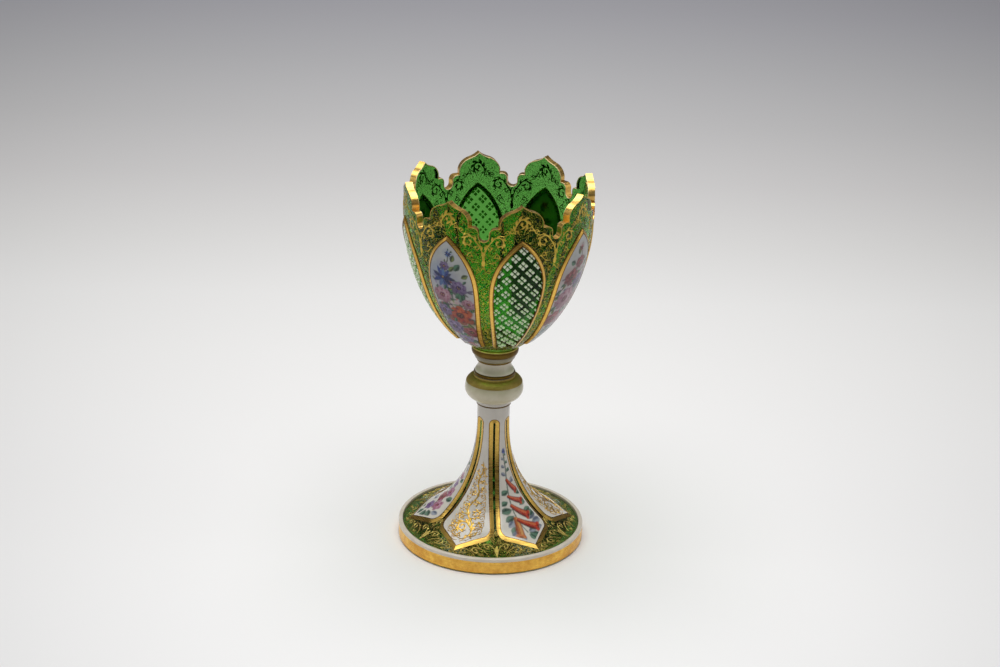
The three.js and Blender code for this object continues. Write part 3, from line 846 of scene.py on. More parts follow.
class Flowers(Enamel):
    """Paint with flowers in it."""

    def blossom(self, x, y, size, hue, petals=6):
        """A full flower: rings of petals from the outside in, light above and dark below."""
        dark, plain, light = HUES[hue]
        start = self.rng.uniform(0, 360)
        for ring, (far, long, wide) in enumerate(PETALS):
            count = petals - ring // 2
            for k in range(count):
                turn = start + 360 / count * (k + 0.5 * (ring % 2)) + self.rng.uniform(-12, 12)
                a = math.radians(turn)
                lift = 0.5 + 0.5 * math.sin(a + 0.5)
                shade = (dark * 1.3, plain, plain * (1 - lift) + light * lift, dark)[ring]
                shade = shade * self.rng.uniform(0.85, 1.15)
                grow = self.rng.uniform(0.9, 1.2)
                middle = polar(x, y, size * far, a, 0.86)
                self.dab(*middle, size * long * grow, size * wide * grow, turn, shade, 0.9)
                if ring < 3:
                    edge = polar(x, y, size * (far + long * 0.6), a, 0.86)
                    self.dab(*edge, size * 0.16, size * wide * 0.8, turn, light * (0.6 + 0.5 * lift), 0.6)
                vein = polar(x, y, size * far * 0.9, a, 0.86)
                self.dab(*vein, size * long * 0.7, 0.2, turn + self.rng.uniform(-14, 14), dark, 0.55)
        self.dab(x, y, size * 0.15, size * 0.12, 0, dark, 0.8)
        for _ in range(5):
            a = self.rng.uniform(0, math.tau)
            speck = (x + size * 0.14 * math.cos(a), y + size * 0.12 * math.sin(a))
            self.dab(*speck, 0.22, 0.18, 0, HUES["orange"][2], 0.8)

    def spiky(self, x, y, size, hue, petals=9):
        """A flower of narrow pointed petals."""
        dark, plain, light = HUES[hue]
        for k in range(petals * 2):
            turn = 360 / petals * k + self.rng.uniform(-12, 12)
            long = size * self.rng.uniform(0.42, 0.55)
            tone = (plain, dark, plain, light)[k % 4] * self.rng.uniform(0.85, 1.2)
            self.dab(*polar(x, y, long, math.radians(turn), 0.9), long, size * 0.17, turn, tone, 0.9, True)
        self.dab(x, y, size * 0.22, size * 0.18, 0, dark, 0.85)
        self.dab(x, y + size * 0.05, size * 0.1, size * 0.08, 0, HUES["orange"][2], 0.8)

    def bell(self, x, y, length, turn, hue, bend):
        """A trumpet flower, from its foot along a bent middle to its mouth."""
        spots = []
        for t in np.linspace(0, 1, 14):
            a = math.radians(turn + bend * (t - 0.5))
            spots.append((x, y, a, length * (0.115 + 0.085 * math.sin(1.7 * t) ** 1.2)))
            x, y = x + math.cos(a) * length / 13, y + math.sin(a) * length / 13
        for tone, grow, push, strength in BELL_STROKES:
            for cx, cy, a, half in spots:
                middle = (cx - math.sin(a) * half * push, cy + math.cos(a) * half * push)
                shade = HUES[hue][tone] * self.rng.uniform(0.9, 1.1)
                self.dab(*middle, length * 0.1, half * grow, math.degrees(a), shade, strength)
        cx, cy, a, half = spots[-1]
        dark, plain, light = HUES[hue]
        turn = math.degrees(a)
        for side in (-1, -0.45, 0.1, 0.6, 1):
            px, py = cx - math.sin(a) * half * side * 0.85, cy + math.cos(a) * half * side * 0.85
            self.dab(px, py, half * 0.6, half * 0.46, turn + side * 30, plain * 1.15, 0.9)
            tip = (px + math.cos(a) * half * 0.4, py + math.sin(a) * half * 0.4)
            self.dab(*tip, half * 0.24, half * 0.3, turn, light, 0.55)
        mouth = (cx + math.cos(a) * half * 0.2, cy + math.sin(a) * half * 0.2)
        self.dab(*mouth, half * 0.28, half * 0.66, turn, dark * 0.6, 0.85)


# %% A bouquet
def bouquet(flat, seed, flowers, leaves):
    """A bouquet on a window's sheet."""
    paint = Flowers(flat, seed)
    for x, y, size, hue in flowers:
        paint.wash(x, y, size * 1.5, hue)
    for (x, y, *_), (x2, y2, *_) in zip(flowers, flowers[1:]):
        paint.stem([(x, y), ((x + x2) / 2 + 0.8, (y + y2) / 2), (x2, y2)])
    for _ in range(150):
        y = paint.rng.uniform(10, 54)
        x = paint.rng.uniform(-0.85, 0.85) * half_at(LATTICE_EDGE, y)
        hue = ("pink", "crimson", "teal", "olive", "teal", "violet")[int(paint.rng.integers(6))]
        tone = HUES[hue][int(paint.rng.integers(3))]
        paint.dab(x, y, paint.rng.uniform(1.0, 2.6), 0.65, paint.rng.uniform(0, 180), tone, 0.7)
    for leaf in leaves:
        paint.leaf(*leaf)
    for number, (x, y, size, hue) in enumerate(flowers):
        for tint in ("teal", "olive", "teal"):
            turn = paint.rng.uniform(0, 360)
            paint.leaf(*polar(x, y, size * 0.7, math.radians(turn)), size * 0.8, turn, tint, 0.24)
        if hue == "blue" or size < 2.2:
            paint.spiky(x, y, size, hue)
        else:
            paint.blossom(x, y, size, hue, petals=6 + (seed + number) % 3)
    # The paint is darker overall, partly as painted shade of the windows, and less red and blue
    paint.colour = 1.15 * paint.colour**1.2 * (0.74, 0.93, 0.76)
    return paint


# %% Four bouquets
# Flowers are (round, along, size, hue), and leaves are (round, along, length, direction, hue)
BOUQUETS = {
    4: (
        [
            (0.4, 66, 1.9, "blue"), (-1.8, 60, 2.4, "violet"), (-3.2, 54, 6.2, "blue"),
            (4, 50, 4, "violet"), (-5, 44.5, 4.6, "pink"), (1.8, 34, 6.6, "red"), (-6, 35.5, 3.8, "violet"),
            (7.2, 41.5, 3.2, "pink"), (-3.4, 25.5, 5, "violet"), (4.2, 23.5, 4, "crimson"),
            (-0.6, 17, 3.6, "violet"), (0.6, 12.6, 2.2, "crimson"),
        ],
        [
            (1.6, 62, 4.6, 70, "olive"), (2.4, 58, 5.6, 50, "teal"), (5.5, 55, 4.6, 30, "olive"),
            (1, 44, 6.6, 30, "teal"), (4, 42, 6, 80, "teal"), (0, 42, 5.6, 140, "teal"),
            (-8.6, 41, 4.4, 70, "olive"), (7.2, 33.5, 5, -80, "teal"), (-7.6, 31, 4.6, 250, "teal"),
            (1, 27, 5, -100, "teal"), (-5.6, 20, 4.6, 240, "teal"), (3.4, 18, 4.2, -70, "teal"),
        ],
    ),
    1: (
        [
            (0.4, 65.5, 1.8, "crimson"), (1.6, 58.5, 3.4, "crimson"), (-3, 52, 4.8, "crimson"),
            (4.6, 48, 4.6, "violet"), (-2, 40.5, 6.4, "pink"), (6, 37.5, 4, "crimson"),
            (-4, 29.5, 5, "crimson"), (3.6, 28, 4.6, "pink"), (-1, 20.5, 4, "grey"),
            (1.6, 14.5, 2.8, "grey"),
        ],
        [
            (0, 62, 4.6, 110, "olive"), (-2, 58, 5, 150, "teal"), (5.6, 55, 4.6, 50, "olive"),
            (-7, 47, 4.8, 220, "teal"), (8, 43, 4.4, 30, "teal"), (-8.4, 36, 4.4, 240, "olive"),
            (0.4, 33.5, 5.2, -10, "teal"), (-6, 24, 4.4, 230, "teal"), (4.4, 22.5, 4.2, -50, "olive"),
            (-2.6, 16.5, 3.8, 220, "grey"), (5, 33, 4, 10, "teal"),
        ],
    ),
    2: (
        [
            (0.2, 65.5, 1.8, "red"), (2.4, 58, 4, "orange"), (-3.4, 51, 5.4, "blue"), (4.4, 46, 5, "pink"),
            (-4.6, 40, 4.4, "red"), (3.2, 34, 5.2, "violet"), (-3.2, 28, 4.8, "blue"), (3.4, 23, 4, "pink"),
            (-0.8, 16.5, 3.4, "red"),
        ],
        [
            (0, 62, 4.6, 60, "teal"), (-0.5, 57, 5, 160, "olive"), (6.4, 53, 4.4, 40, "teal"),
            (-8, 45, 4.6, 230, "olive"), (0, 43, 5, 200, "teal"), (7.4, 39, 4.4, -40, "olive"),
            (-7, 33, 4.4, 220, "teal"), (0.4, 30, 4.6, 20, "teal"), (5, 18, 3.8, -40, "teal"),
            (-4.6, 21, 4.2, 220, "olive"),
        ],
    ),
    3: (
        [
            (0, 65.5, 1.8, "violet"), (-2.2, 58, 3.8, "pink"), (3.6, 52.5, 5, "crimson"),
            (-4, 47, 5, "violet"), (3, 40.5, 5.6, "orange"), (-5, 35.5, 4, "blue"),
            (2.8, 29.5, 4.6, "pink"), (-2.8, 25, 4.2, "red"), (1.2, 18.5, 3.6, "violet"),
            (-0.4, 13.2, 2.4, "pink"),
        ],
        [
            (0.2, 62, 4.6, 120, "olive"), (1.6, 58, 4.8, 30, "teal"), (-7.4, 53, 4.4, 200, "teal"),
            (7.6, 46, 4.4, -20, "olive"), (-1.6, 42, 5, 200, "olive"), (7, 34, 4.4, -30, "teal"),
            (-1.6, 31, 4.6, 220, "teal"), (4.6, 23, 4, -60, "olive"), (-4.4, 19, 4, 220, "teal"),
        ],
    ),
}
for number, (flowers, leaves) in BOUQUETS.items():
    azimuth = FRONT_LOBE + 45 + 90 * (number - 1)
    name, panel = f"flower_enamel_{number}", f"flower_panel_{number}"
    mesh, flat = sheet_on(bowl_side, azimuth, SHEET_EDGE, (84, 232), 0.9, name, flower_enamel, panel)
    bouquet(flat, number, flowers, leaves).onto(mesh)
print("faces in each painted sheet:", len(mesh.polygons))

# %% [markdown]
# ## Gold pen work
# The gilder drew leafy scrolls with thick gold, and filled the green between them with fine worm
# lines. A scroll is a path whose bend tightens as it goes, and its leaves spring from one side. Each
# stroke is a narrow strip, raised a little along its middle. The worm lines are a gold film just
# above the glass, let through by a pattern.


# %% Paths of the pen
def walk(x, y, heading, length, first, last):
    """A path from a point and a heading in degrees, with its first and last bend."""
    angle = math.radians(heading)
    path = [(x, y)]
    steps = max(4, int(length / 0.42))
    for k in range(steps):
        turn = (first + (last - first) * (k + 0.5) / steps) * length / steps
        angle += turn / 2
        x, y = x + math.cos(angle) * length / steps, y + math.sin(angle) * length / steps
        angle += turn / 2
        path.append((x, y))
    return np.array(path)


def sprout(path, place, side, length, width):
    """A short leaf that leaves a path to one side and curves back along it."""
    k = int(place * (len(path) - 2))
    ahead = path[k + 1] - path[k]
    heading = math.degrees(math.atan2(ahead[1], ahead[0])) + side * 42
    bend = -side * 0.22
    return walk(*path[k], heading, length, bend * 0.4, bend * 1.8), width


def volute(start, centre, r, side, turns):
    """A curl: straight from a start, then round a centre with a shrinking radius."""
    start = np.array(start, dtype=float)
    gap = start - centre
    first = math.atan2(gap[1], gap[0]) + side * math.acos(min(0.999, r / math.hypot(*gap)))
    lead = np.array(polar(*centre, r, first)) - start
    aside = side * 0.14 * np.array([lead[1], -lead[0]])
    path = [start + lead * t + aside * math.sin(math.pi * t) for t in (0, 0.2, 0.4, 0.6, 0.8)]
    steps = max(10, int(turns * 14))
    for k in range(steps + 1):
        t = k / steps
        path.append(polar(*centre, r * (1 - 0.78 * t**0.9), first + side * math.tau * turns * t))
    return np.array(path)


def scroll(start, centre, r, side, turns, width, leaves, size, last, first=0.1):
    """A curling stem with leaves of a size along its outer side, from a first to a last place."""
    path = volute(start, centre, r, side, turns)
    strokes = [(path, width), (path[-5:], width * 1.5)]
    for k in range(leaves):
        place = first + (last - first) * k / (leaves - 1)
        swell = 0.7 + 0.5 * math.sin(math.pi * (k + 1) / (leaves + 1))
        strokes.append(sprout(path, place, -side, size * swell, width * 1.15 * swell))
    return strokes


# %% Gold along the paths
def smooth_line(knots, steps=12):
    """A smooth path through knots (Catmull-Rom)."""
    p = np.array([knots[0]] + list(knots) + [knots[-1]], dtype=float)
    out = []
    for a, b, c, d in zip(p, p[1:], p[2:], p[3:]):
        for t in np.linspace(0, 1, steps, endpoint=False):
            square, cube = (2 * a - 5 * b + 4 * c - d) * t * t, (3 * b - a - 3 * c + d) * t**3
            out.append(0.5 * (2 * b + (c - a) * t + square + cube))
    out.append(p[-2])
    return np.array(out)


def both_sides(strokes):
    """The strokes and their mirror image."""
    return strokes + [(path * [-1, 1], width) for path, width in strokes]


def gilt_lines(name, strokes, table, azimuth, base, lift, material):
    """Tapered strips of gold along the strokes, laid on a side at an azimuth."""
    bm = bmesh.new()
    for path, width in strokes:
        verts = bmesh.ops.create_grid(bm, x_segments=2, y_segments=len(path) - 1, size=1)["verts"]
        ahead = np.gradient(path, axis=0)
        ahead /= np.linalg.norm(ahead, axis=1)[:, None] + 1e-9
        steps = np.arange(len(path))
        for vert in verts:
            across, t = round(vert.co.x), (vert.co.y + 1) / 2
            taper = width * (0.3 + 0.7 * math.sin(math.pi * min(1, 0.12 + 0.86 * t)))
            k = t * (len(path) - 1)
            x, y, ax, ay = (float(np.interp(k, steps, column)) for column in (*path.T, *ahead.T))
            vert.co = (x + ay * across * taper, y - ax * across * taper, base + (lift if across == 0 else 0))
    put(bm.verts, laid(table, azimuth, [v.co for v in bm.verts]))
    return finished(bm, name, material, "gilding")


# %% Scrolls between the windows and on the lobes
TIP = along_at(bowl_side, 159.0)
# Start, centre of the curl (both measured along from the window's tip), its radius, side and turns,
# and the stem's width, its leaves, their size and the place of the last
SPANDREL = [
    ((0.6, -12.0), (6.6, -1.0), 3.0, -1, 1.2, 0.33, 8, 1.7, 0.74),
    ((1.2, -8.0), (2.6, -3.9), 1.4, -1, 1.15, 0.2, 4, 1.1, 0.7),
    ((2.4, -10.6), (5.8, -7.4), 1.4, 1, 1.15, 0.2, 4, 1.1, 0.7),
    ((6.8, 2.3), (10.0, 3.8), 1.1, 1, 1.15, 0.2, 3, 1.0, 0.7),
    ((0.4, -12.4), (2.3, -14.4), 1.0, 1, 1.1, 0.17, 3, 0.9, 0.7),
]
ROSETTE = [
    ((-3.0, 3.0), (0.4, 7.5), 2.5, -1, 1.15, 0.42, 7, 2.2, 0.72),
    ((0.6, 3.0), (3.9, 4.9), 1.1, -1, 1.15, 0.19, 4, 1.1, 0.7),
    ((-1.2, 2.6), (-4.4, 4.0), 1.1, 1, 1.15, 0.19, 4, 1.1, 0.7),
]


def above_tip(table):
    """The strokes of scrolls whose places are measured from the window's tip."""
    strokes = []
    for (x, y), (cx, cy), *rest in table:
        strokes += scroll((x, TIP + y), (cx, TIP + cy), *rest)
    return strokes


spandrel = both_sides(above_tip(SPANDREL))
for heading, length, bend in ((90, 4.0, 0.0), (62, 3.2, 0.2), (118, 3.2, -0.2)):
    spandrel.append((walk(0, TIP - 12.4, heading, length, bend, 2 * bend), 0.34))
rosette = above_tip(ROSETTE)
for i in range(8):
    for name, strokes, azimuth in (
        ("spandrel", spandrel, FRONT_LOBE + 22.5 + 45 * i),
        ("lobe", rosette, FRONT_LOBE + 45 * i),
    ):
        gilt_lines(f"{name}_scroll_{i + 1}", strokes, bowl_side, azimuth, 0.03, 0.12, golds["scroll"])
print("scrolls drawn on the bowl")

# %% Worm lines on the bowl
film = spun(skin_of(bowl_points[4:], 0.05, 0.02), 256)
windows = [bar(window_line(0.7)[::-1], 3, 60, FRONT_LOBE + 45 * i) for i in range(8)]
film = combined(film, [air] + windows, "DIFFERENCE")
finished(film, "bowl_worm_lines", bowl_worms, "gilding")
print("worm lines laid round the windows")

# %% [markdown]
# ## Rings, collar and knop
# These are turned, so each is one profile spun round the axis.

# %% Turned pieces between stem and bowl
DISC_TOP, DISC_BASE, COLLAR_BASE, KNOP_TOP, KNOP_BASE = 91.2, 88.6, 82.7, 81.1, 68.6
NECK_RING_BASE, KNOP_SHOULDER = 67.2, 9.4


def turned(name, profile, material, *nodes, sides=128):
    """A spun piece. Those with a gold are gilding, and the others white overlay."""
    slot = "gilding" if material.name.endswith("_gold") else "white_overlay"
    piece = finished(spun(profile, sides), name, material, slot, *nodes)
    print(name, face_count(piece), "faces")


# The merese ring is dark gold as painted shade under the bowl
ring = [(0, DISC_TOP)] + oval(9.75, 93.2, 1.0, 2.0, -90, 90, 12) + [(0, BOWL_BASE)]
turned("merese_ring_gilt", ring, golds["dark"], "merese_ring")
# A thin lighter ring round the merese is a painted highlight
turned("merese_painted_highlight", arc(10.42, 94.5, 0.3, 0, 360, 10)[1:], golds["soft"])
disc = curve((8.3, DISC_BASE), (9.1, 88.9), (9.6, 89.8), (9.6, DISC_TOP), 8)
# The disc's dark white is painted shade under the bowl
turned("merese_disc_white", [(0, DISC_BASE)] + disc + [(0, DISC_TOP)], shaded_white, "merese_disc")
# The merese line is dark gold as painted shade under the disc
line = [(7.45, 87.7), (8.2, 87.8), (8.2, 88.5), (7.45, DISC_BASE)]
turned("merese_line_gilt", line, golds["dark"], "merese_line")
waist = curve((9, COLLAR_BASE), (9, 84.3), (7.4, 84.2), (7.4, 87.6), 14)
collar = [(0, COLLAR_BASE)] + waist + [(7.4, DISC_BASE), (0, DISC_BASE)]
turned("collar_white", collar, collar_white, "collar")
# The collar ring is dark gold as painted shade between the collar and the knop
ring = [(9 + 0.5 * math.cos(a), 81.9 + 0.8 * math.sin(a)) for a in np.linspace(-1.57, 1.57, 9)]
turned("collar_ring_gilt", [(0, KNOP_TOP)] + ring + [(0, COLLAR_BASE)], golds["dark"], "collar_ring")
low = curve((8.2, KNOP_BASE), (11.6, 69.5), (13.4, 71.8), (13.4, 74.4), 16)
high = oval(KNOP_SHOULDER, 74.4, 4.0, 5.5, 0, 90, 19)
knop = [(0, KNOP_BASE)] + low + high[1:] + [(KNOP_SHOULDER, KNOP_TOP), (0, KNOP_TOP)]
turned("knop_opal", knop, opal, "knop")
band = [p for p in high if p[1] > 77.4] + [(KNOP_SHOULDER, 81.0)]
turned("knop_band_gilt", skin_of(band, 0.2, 0.02), golds["olive"], "knop_band")
flange = curve((8.1, NECK_RING_BASE), (8.1, 67.9), (8.0, 68.3), (7.9, KNOP_BASE), 8) + [(0, KNOP_BASE)]
flange = [(0, NECK_TOP), (7.3, NECK_TOP), (7.3, NECK_RING_BASE)] + flange
turned("neck_ring_white", flange, white, "neck_ring")
# The neck line is dark gold as painted shade under the neck ring
line = [(7.35, NECK_TOP), (7.95, 66.5), (8.0, 66.9), (7.35, 67.0)]
turned("neck_line_gilt", line, golds["dark"], "neck_line")

# %% [markdown]
# ## Foot and stem
# The green core and foot are one turned piece. The white sleeve is a thin turned skin, from which
# the six slots and the ground beyond the tongues are cut.

# %% Green core and foot
FOOT_RADIUS, GLASS_RADIUS, BAND_TOP = 43, 42.2, 6.2
core = offset_line(flare_points, -0.72)
core[-1] = (core[-1][0], NECK_TOP)
under = curve((0, 2.5), (14, 2.5), (24, 1.6), (34, 0), 16)
side = [(41.7, 0), (42.0, 0.15), (GLASS_RADIUS, 0.5), (GLASS_RADIUS, BAND_TOP), (core[0][0], BAND_TOP)]
finished(spun(under + side + core + [(0, NECK_TOP)], 192), "foot_glass", deep_glass, "green_glass", "foot")

inside = offset_line(flare_points, -0.7)[0][0] + 0.2
ring = [(inside, BAND_TOP), (FOOT_RADIUS, BAND_TOP)] + arc(GLASS_RADIUS, 7.0, 0.8, 0, 90, 6)
ring += arc(inside + 0.4, FOOT_TOP, 0.3, 90, 180, 4)
turned("foot_ring_white", ring, cream_white, "foot_rim", sides=192)
outside = [(42.8, 0.6), (FOOT_RADIUS, 0.8), (FOOT_RADIUS, 6.0), (42.95, BAND_TOP)]
band = [(42.25, 0.6)] + outside + [(42.25, BAND_TOP)]
turned("foot_band_gilt", band, golds["band"], "foot_band", sides=192)

# %% [markdown]
# ## Slots and tongues
# The edge of a tongue is drawn in plan, and serves both the cut in the white and the gilt bevel. For
# the bevel it becomes a flat line round and along the side, which runs from a tongue's tip, round its
# corner, up the slot, over the round top and down the other side.

# %% Line of a slot's edge
FRONT_SLOT = 5.0
SLOT_HALF, SLOT_TOP, STEM_RADIUS = 0.8, 59.2, 7.5
CORNER, CORNER_REACH, TIP_REACH = 5.5, 26, 38.3
EDGE = Vector((math.cos(math.radians(30)), math.sin(math.radians(30))))


def tongue_plan(depth):
    """Plan (outward, sideways) of a tongue's edge from its tip to where the slot runs straight."""
    centre = Vector((CORNER_REACH, SLOT_HALF + CORNER))
    to_tip = EDGE * TIP_REACH - centre
    facing_angle = math.atan2(to_tip.y, to_tip.x) - math.acos(CORNER / to_tip.length)
    facing = Vector((math.cos(facing_angle), math.sin(facing_angle)))
    tip = EDGE * ((CORNER - depth + centre.dot(facing)) / EDGE.dot(facing))
    corner = arc(centre.x, centre.y, CORNER - depth, math.degrees(facing_angle), -90, 12)
    return [tuple(tip.lerp(Vector(corner[0]), t)) for t in (0, 0.25, 0.5, 0.75)] + corner


def slot_line(depth):
    """Points (round, along) of a slot's edge, taken into the tongues by a depth."""
    inwards = flare_side[::-1]
    points = []
    for x, y in tongue_plan(depth):
        r = math.hypot(x, y)
        points.append((r * math.atan2(y, x), float(np.interp(r, inwards[:, 0], inwards[:, 4]))))
    width = SLOT_HALF + depth
    high = along_at(flare_side, SLOT_TOP - SLOT_HALF)
    for along in np.linspace(points[-1][1], high, 40)[1:]:
        r = radius_along(flare_side, along)
        points.append((r * math.asin(min(1, width / r)), along))
    for x, z in arc(0, high, width, 0, 90, 8)[1:]:
        points.append((STEM_RADIUS * math.asin(min(1, x / STEM_RADIUS)), z))
    return points + [(-x, z) for x, z in points[-2::-1]]


# Each line of the bevel: how far it is taken into the tongues, and its height over the white
SLOT_BEVEL = [(-0.25, -0.69), (-0.25, -0.6), (0.2, -0.42), (1.1, -0.08), (1.38, 0.0), (1.7, 0.04)]
SLOT_BEVEL += [(1.75, -0.5), (0.8, -0.69)]
for i in range(6):
    lines = []
    for depth, out in SLOT_BEVEL:
        lines.append(laid(flare_side, FRONT_SLOT + 60 * i, [(x, y, out) for x, y in slot_line(depth)]))
    bevel(lines, (0, 4, 5), f"slot_bevel_{i + 1}", golds["slot"], f"slot_border_{i + 1}")
print("six slot bevels made")

# %% White sleeve with six tongues
CUT_DEPTH = 1.62
side = [(3.0, SLOT_HALF + CUT_DEPTH)] + tongue_plan(CUT_DEPTH)[::-1]
side.append(tuple(EDGE * 90 + Vector((-0.01, 0.02))))
plan = [(x, -y) for x, y in side] + side[::-1]
round_top = arc(0, SLOT_TOP - SLOT_HALF, SLOT_HALF + CUT_DEPTH, 0, 360, 32)[1:]
slots = []
for i in range(6):
    azimuth = FRONT_SLOT + 60 * i
    slots.append(bar(plan, 0, SLOT_TOP - SLOT_HALF, azimuth, upright=True))
    slots.append(bar(round_top, 3, 20, azimuth))
sleeve = combined(spun(flare_points + offset_line(flare_points, -0.68)[::-1], 240), slots, "DIFFERENCE")
sleeve = finished(sleeve, "stem_sleeve", white, "white_overlay", "stem_overlay")
print("sleeve faces", face_count(sleeve))

# %% [markdown]
# ## Painting on the foot
# The tongues carry flowers and gold sprays by turns, and the green ground round them has scrolls.


# %% Sheets on the tongues
def tongue_half(depth):
    """Rows of (along, half width) of a tongue, drawn in from the slot's edge by a depth."""
    rows = []
    for x, along in slot_line(depth):
        if x > 0:
            rows.append((along, max(0.0, radius_along(flare_side, along) * math.radians(30) - x)))
    return np.array(sorted(rows))


TONGUE_EDGE = tongue_half(2.6)
TONGUE_EDGE = TONGUE_EDGE[TONGUE_EDGE[:, 0] < along_at(flare_side, 50)]
print("tongue half width:", round(float(TONGUE_EDGE[:, 1].max()), 1), "mm")

# %% Flowers on the tongues
# Bells are (round, along, length, direction), blossoms are (round, along, size), and leaves are
# (round, along, length, direction, tint)
BELLS = [
    (-0.4, 38.8, 6.6, -55), (-1.8, 31.2, 7, -28), (-1.6, 26.6, 9, -43), (-2.2, 20.4, 9.6, -102),
    (-1.2, 19.4, 10, -36),
]
BELL_LEAVES = [
    (-0.6, 34, 4.2, 200, 0), (1.6, 32, 4.6, 8, 0), (0.8, 37, 3.8, 42, 1), (2.2, 25.8, 5, 28, 0),
    (-1.6, 25, 5.6, 188, 0), (-2, 22, 5.2, 206, 0), (3, 18.4, 6.4, 22, 1), (4.6, 16.6, 5.6, 0, 1),
    (4.4, 14.8, 5.2, -26, 1), (-4.2, 17, 5, 240, 2), (-2.4, 29, 4, 200, 0), (2.6, 22.4, 4.6, 12, 0),
    (-3, 19.5, 4.6, 215, 1), (4.8, 19.6, 4.6, 30, 0), (-4.4, 14.6, 4.6, 228, 0), (-2.2, 12.4, 4.2, 250, 1),
    (2.6, 11.8, 4.6, -48, 0), (4.6, 13, 4.4, -36, 1), (-3.6, 14, 4.6, 214, 1), (0.2, 12, 5.2, -24, 0),
    (0, 11.6, 4.4, -58, 0), (0.4, 12.4, 4.8, 12, 1), (1.6, 14.4, 4.4, -6, 0),
]
BLOSSOMS = [
    (0.2, 36, 2.3), (-0.9, 31, 2.7), (1.2, 26.4, 3.2), (-2, 21.4, 3.8), (2.6, 17.8, 3.8), (-2.4, 14, 3.2),
]
BLOSSOM_LEAVES = [
    (1.2, 33.2, 3.6, 30, 0), (-1.6, 27, 4.4, 190, 0), (2.6, 22.8, 5, 20, 0), (-4.4, 18, 4.8, 200, 1),
    (0, 12.2, 5.6, -50, 0), (1.4, 13, 5.4, -20, 0), (-1, 11.4, 5, -100, 0), (4.4, 14, 4.6, 10, 1),
    (-3.6, 11.4, 4.4, 210, 0), (2, 39, 3, 70, 1),
]
SPRIG = [(0.1 * (k % 2), 40.5 + 1.9 * k, 2.9 - 0.2 * k, 90 + 52 * (-1) ** k, 1 + k % 2) for k in range(6)]
TONGUES = {"red_bells": (30, "red"), "mauve_blossoms": (-90, "pink"), "blue_bells": (150, "blue")}
for number, (name, (azimuth, hue)) in enumerate(TONGUES.items()):
    azimuth += FRONT_SLOT
    mesh, flat = sheet_on(flare_side, azimuth, TONGUE_EDGE, (60, 150), 0.03, f"tongue_{name}", sleeve_enamel)
    paint = Flowers(flat, 20 + number)
    paint.stem([(0.0, 52), (0.2, 44), (-0.5, 38), (-1.4, 31), (-1.8, 24), (-1.4, 18), (0.2, 12)], "teal", 0.3)
    blooms = name == "mauve_blossoms"
    for x, y, size, turn, tint in SPRIG + (BLOSSOM_LEAVES if blooms else BELL_LEAVES):
        paint.leaf(x, y, size * 1.3, turn, ("teal", "grey", "teal")[tint], 0.28)
    paint.spiky(0.3, 52.4, 1.7, "blue")
    if blooms:
        for k, blossom in enumerate(BLOSSOMS):
            paint.blossom(*blossom, ("pink", "violet", "pink", "crimson")[k % 4])
    else:
        for k, bell in enumerate(BELLS):
            paint.bell(*bell, "orange" if hue == "red" and k == 3 else hue, -14 if k == 3 else 16)
    paint.onto(mesh)
print("flowers painted on", len(TONGUES), "tongues")

# %% Gold on the tongues
# Knots of the stem (round, along), curls on it (start, centre, radius, side, leaves, width), and
# leaves straight on the stem (place, side)
SPRAY_KNOTS = [
    (0.4, 7.6), (2.6, 10.8), (3.6, 14.6), (1.8, 18.6), (-0.8, 21.6), (-2, 25.2), (-0.4, 28.8), (1, 32),
    (0.1, 35.2), (-0.7, 38.2), (0.1, 41), (0.5, 44), (0, 47.5),
]
SPRAY_CURLS = [
    ((3.4, 12.6), (-1.6, 15.6), 3, 1, 10, 0.4), ((3.2, 15.8), (5.7, 17.6), 1.4, 1, 4, 0.28),
    ((3, 11.6), (5.2, 12.8), 1.2, 1, 3, 0.26), ((2, 9.9), (-1.6, 10.9), 1.2, -1, 4, 0.26),
    ((-1.8, 10.2), (-4.4, 12.2), 1.1, -1, 4, 0.24), ((-2.6, 12.6), (-6, 15.6), 1.5, -1, 5, 0.28),
    ((-0.4, 21), (2.6, 22.8), 1.9, 1, 7, 0.34), ((-0.8, 21.4), (-4, 20.6), 1.5, 1, 6, 0.3),
    ((-1.9, 24.2), (-3.1, 26.2), 0.95, -1, 4, 0.24), ((-1.6, 26.6), (1, 28), 1.3, -1, 5, 0.26),
    ((0.6, 31), (-1.3, 32.4), 1, 1, 4, 0.22), ((0.9, 33), (1.9, 34.8), 0.6, 1, 3, 0.18),
    ((-0.3, 36.6), (0.9, 38), 0.7, -1, 3, 0.18), ((-0.6, 38.9), (-0.9, 41), 0.5, 1, 3, 0.16),
    ((0.3, 42.2), (1, 43.6), 0.42, 1, 2, 0.15), ((0.4, 44.4), (-0.4, 45.8), 0.4, 1, 2, 0.14),
]
SPRAY_LEAVES = [
    (0.06, 1), (0.1, -1), (0.18, -1), (0.22, -1), (0.27, 1), (0.34, -1), (0.38, 1), (0.44, 1), (0.5, -1),
    (0.56, 1), (0.62, -1), (0.68, 1), (0.75, -1), (0.8, 1), (0.86, -1), (0.92, 1), (0.97, -1),
]


def spray_strokes():
    """A spray that climbs a tongue, with small curls on both sides of it."""
    stem = smooth_line(SPRAY_KNOTS)
    strokes = [(stem, 0.34)]
    for start, centre, r, side, leaves, width in SPRAY_CURLS:
        strokes += scroll(start, centre, r, side, 1.45, width * 0.85, leaves, 0.55 * r + 0.55, 0.66)
    for place, side in SPRAY_LEAVES:
        strokes.append(sprout(stem, place, side, 2.6 * (1 - 0.7 * place), 0.4 * (1 - 0.6 * place)))
    for k in range(11):
        along = 10.5 + 3.3 * k
        half = half_at(TONGUE_EDGE, along)
        for side in (-1, 1):
            start, centre = (side * half * 0.2, along - 2.2), (side * half * 0.66, along + 0.8 * side)
            strokes += scroll(start, centre, min(1.5, 0.2 * half + 0.2), side, 1.3, 0.13, 4, 0.9, 0.6)
    return strokes


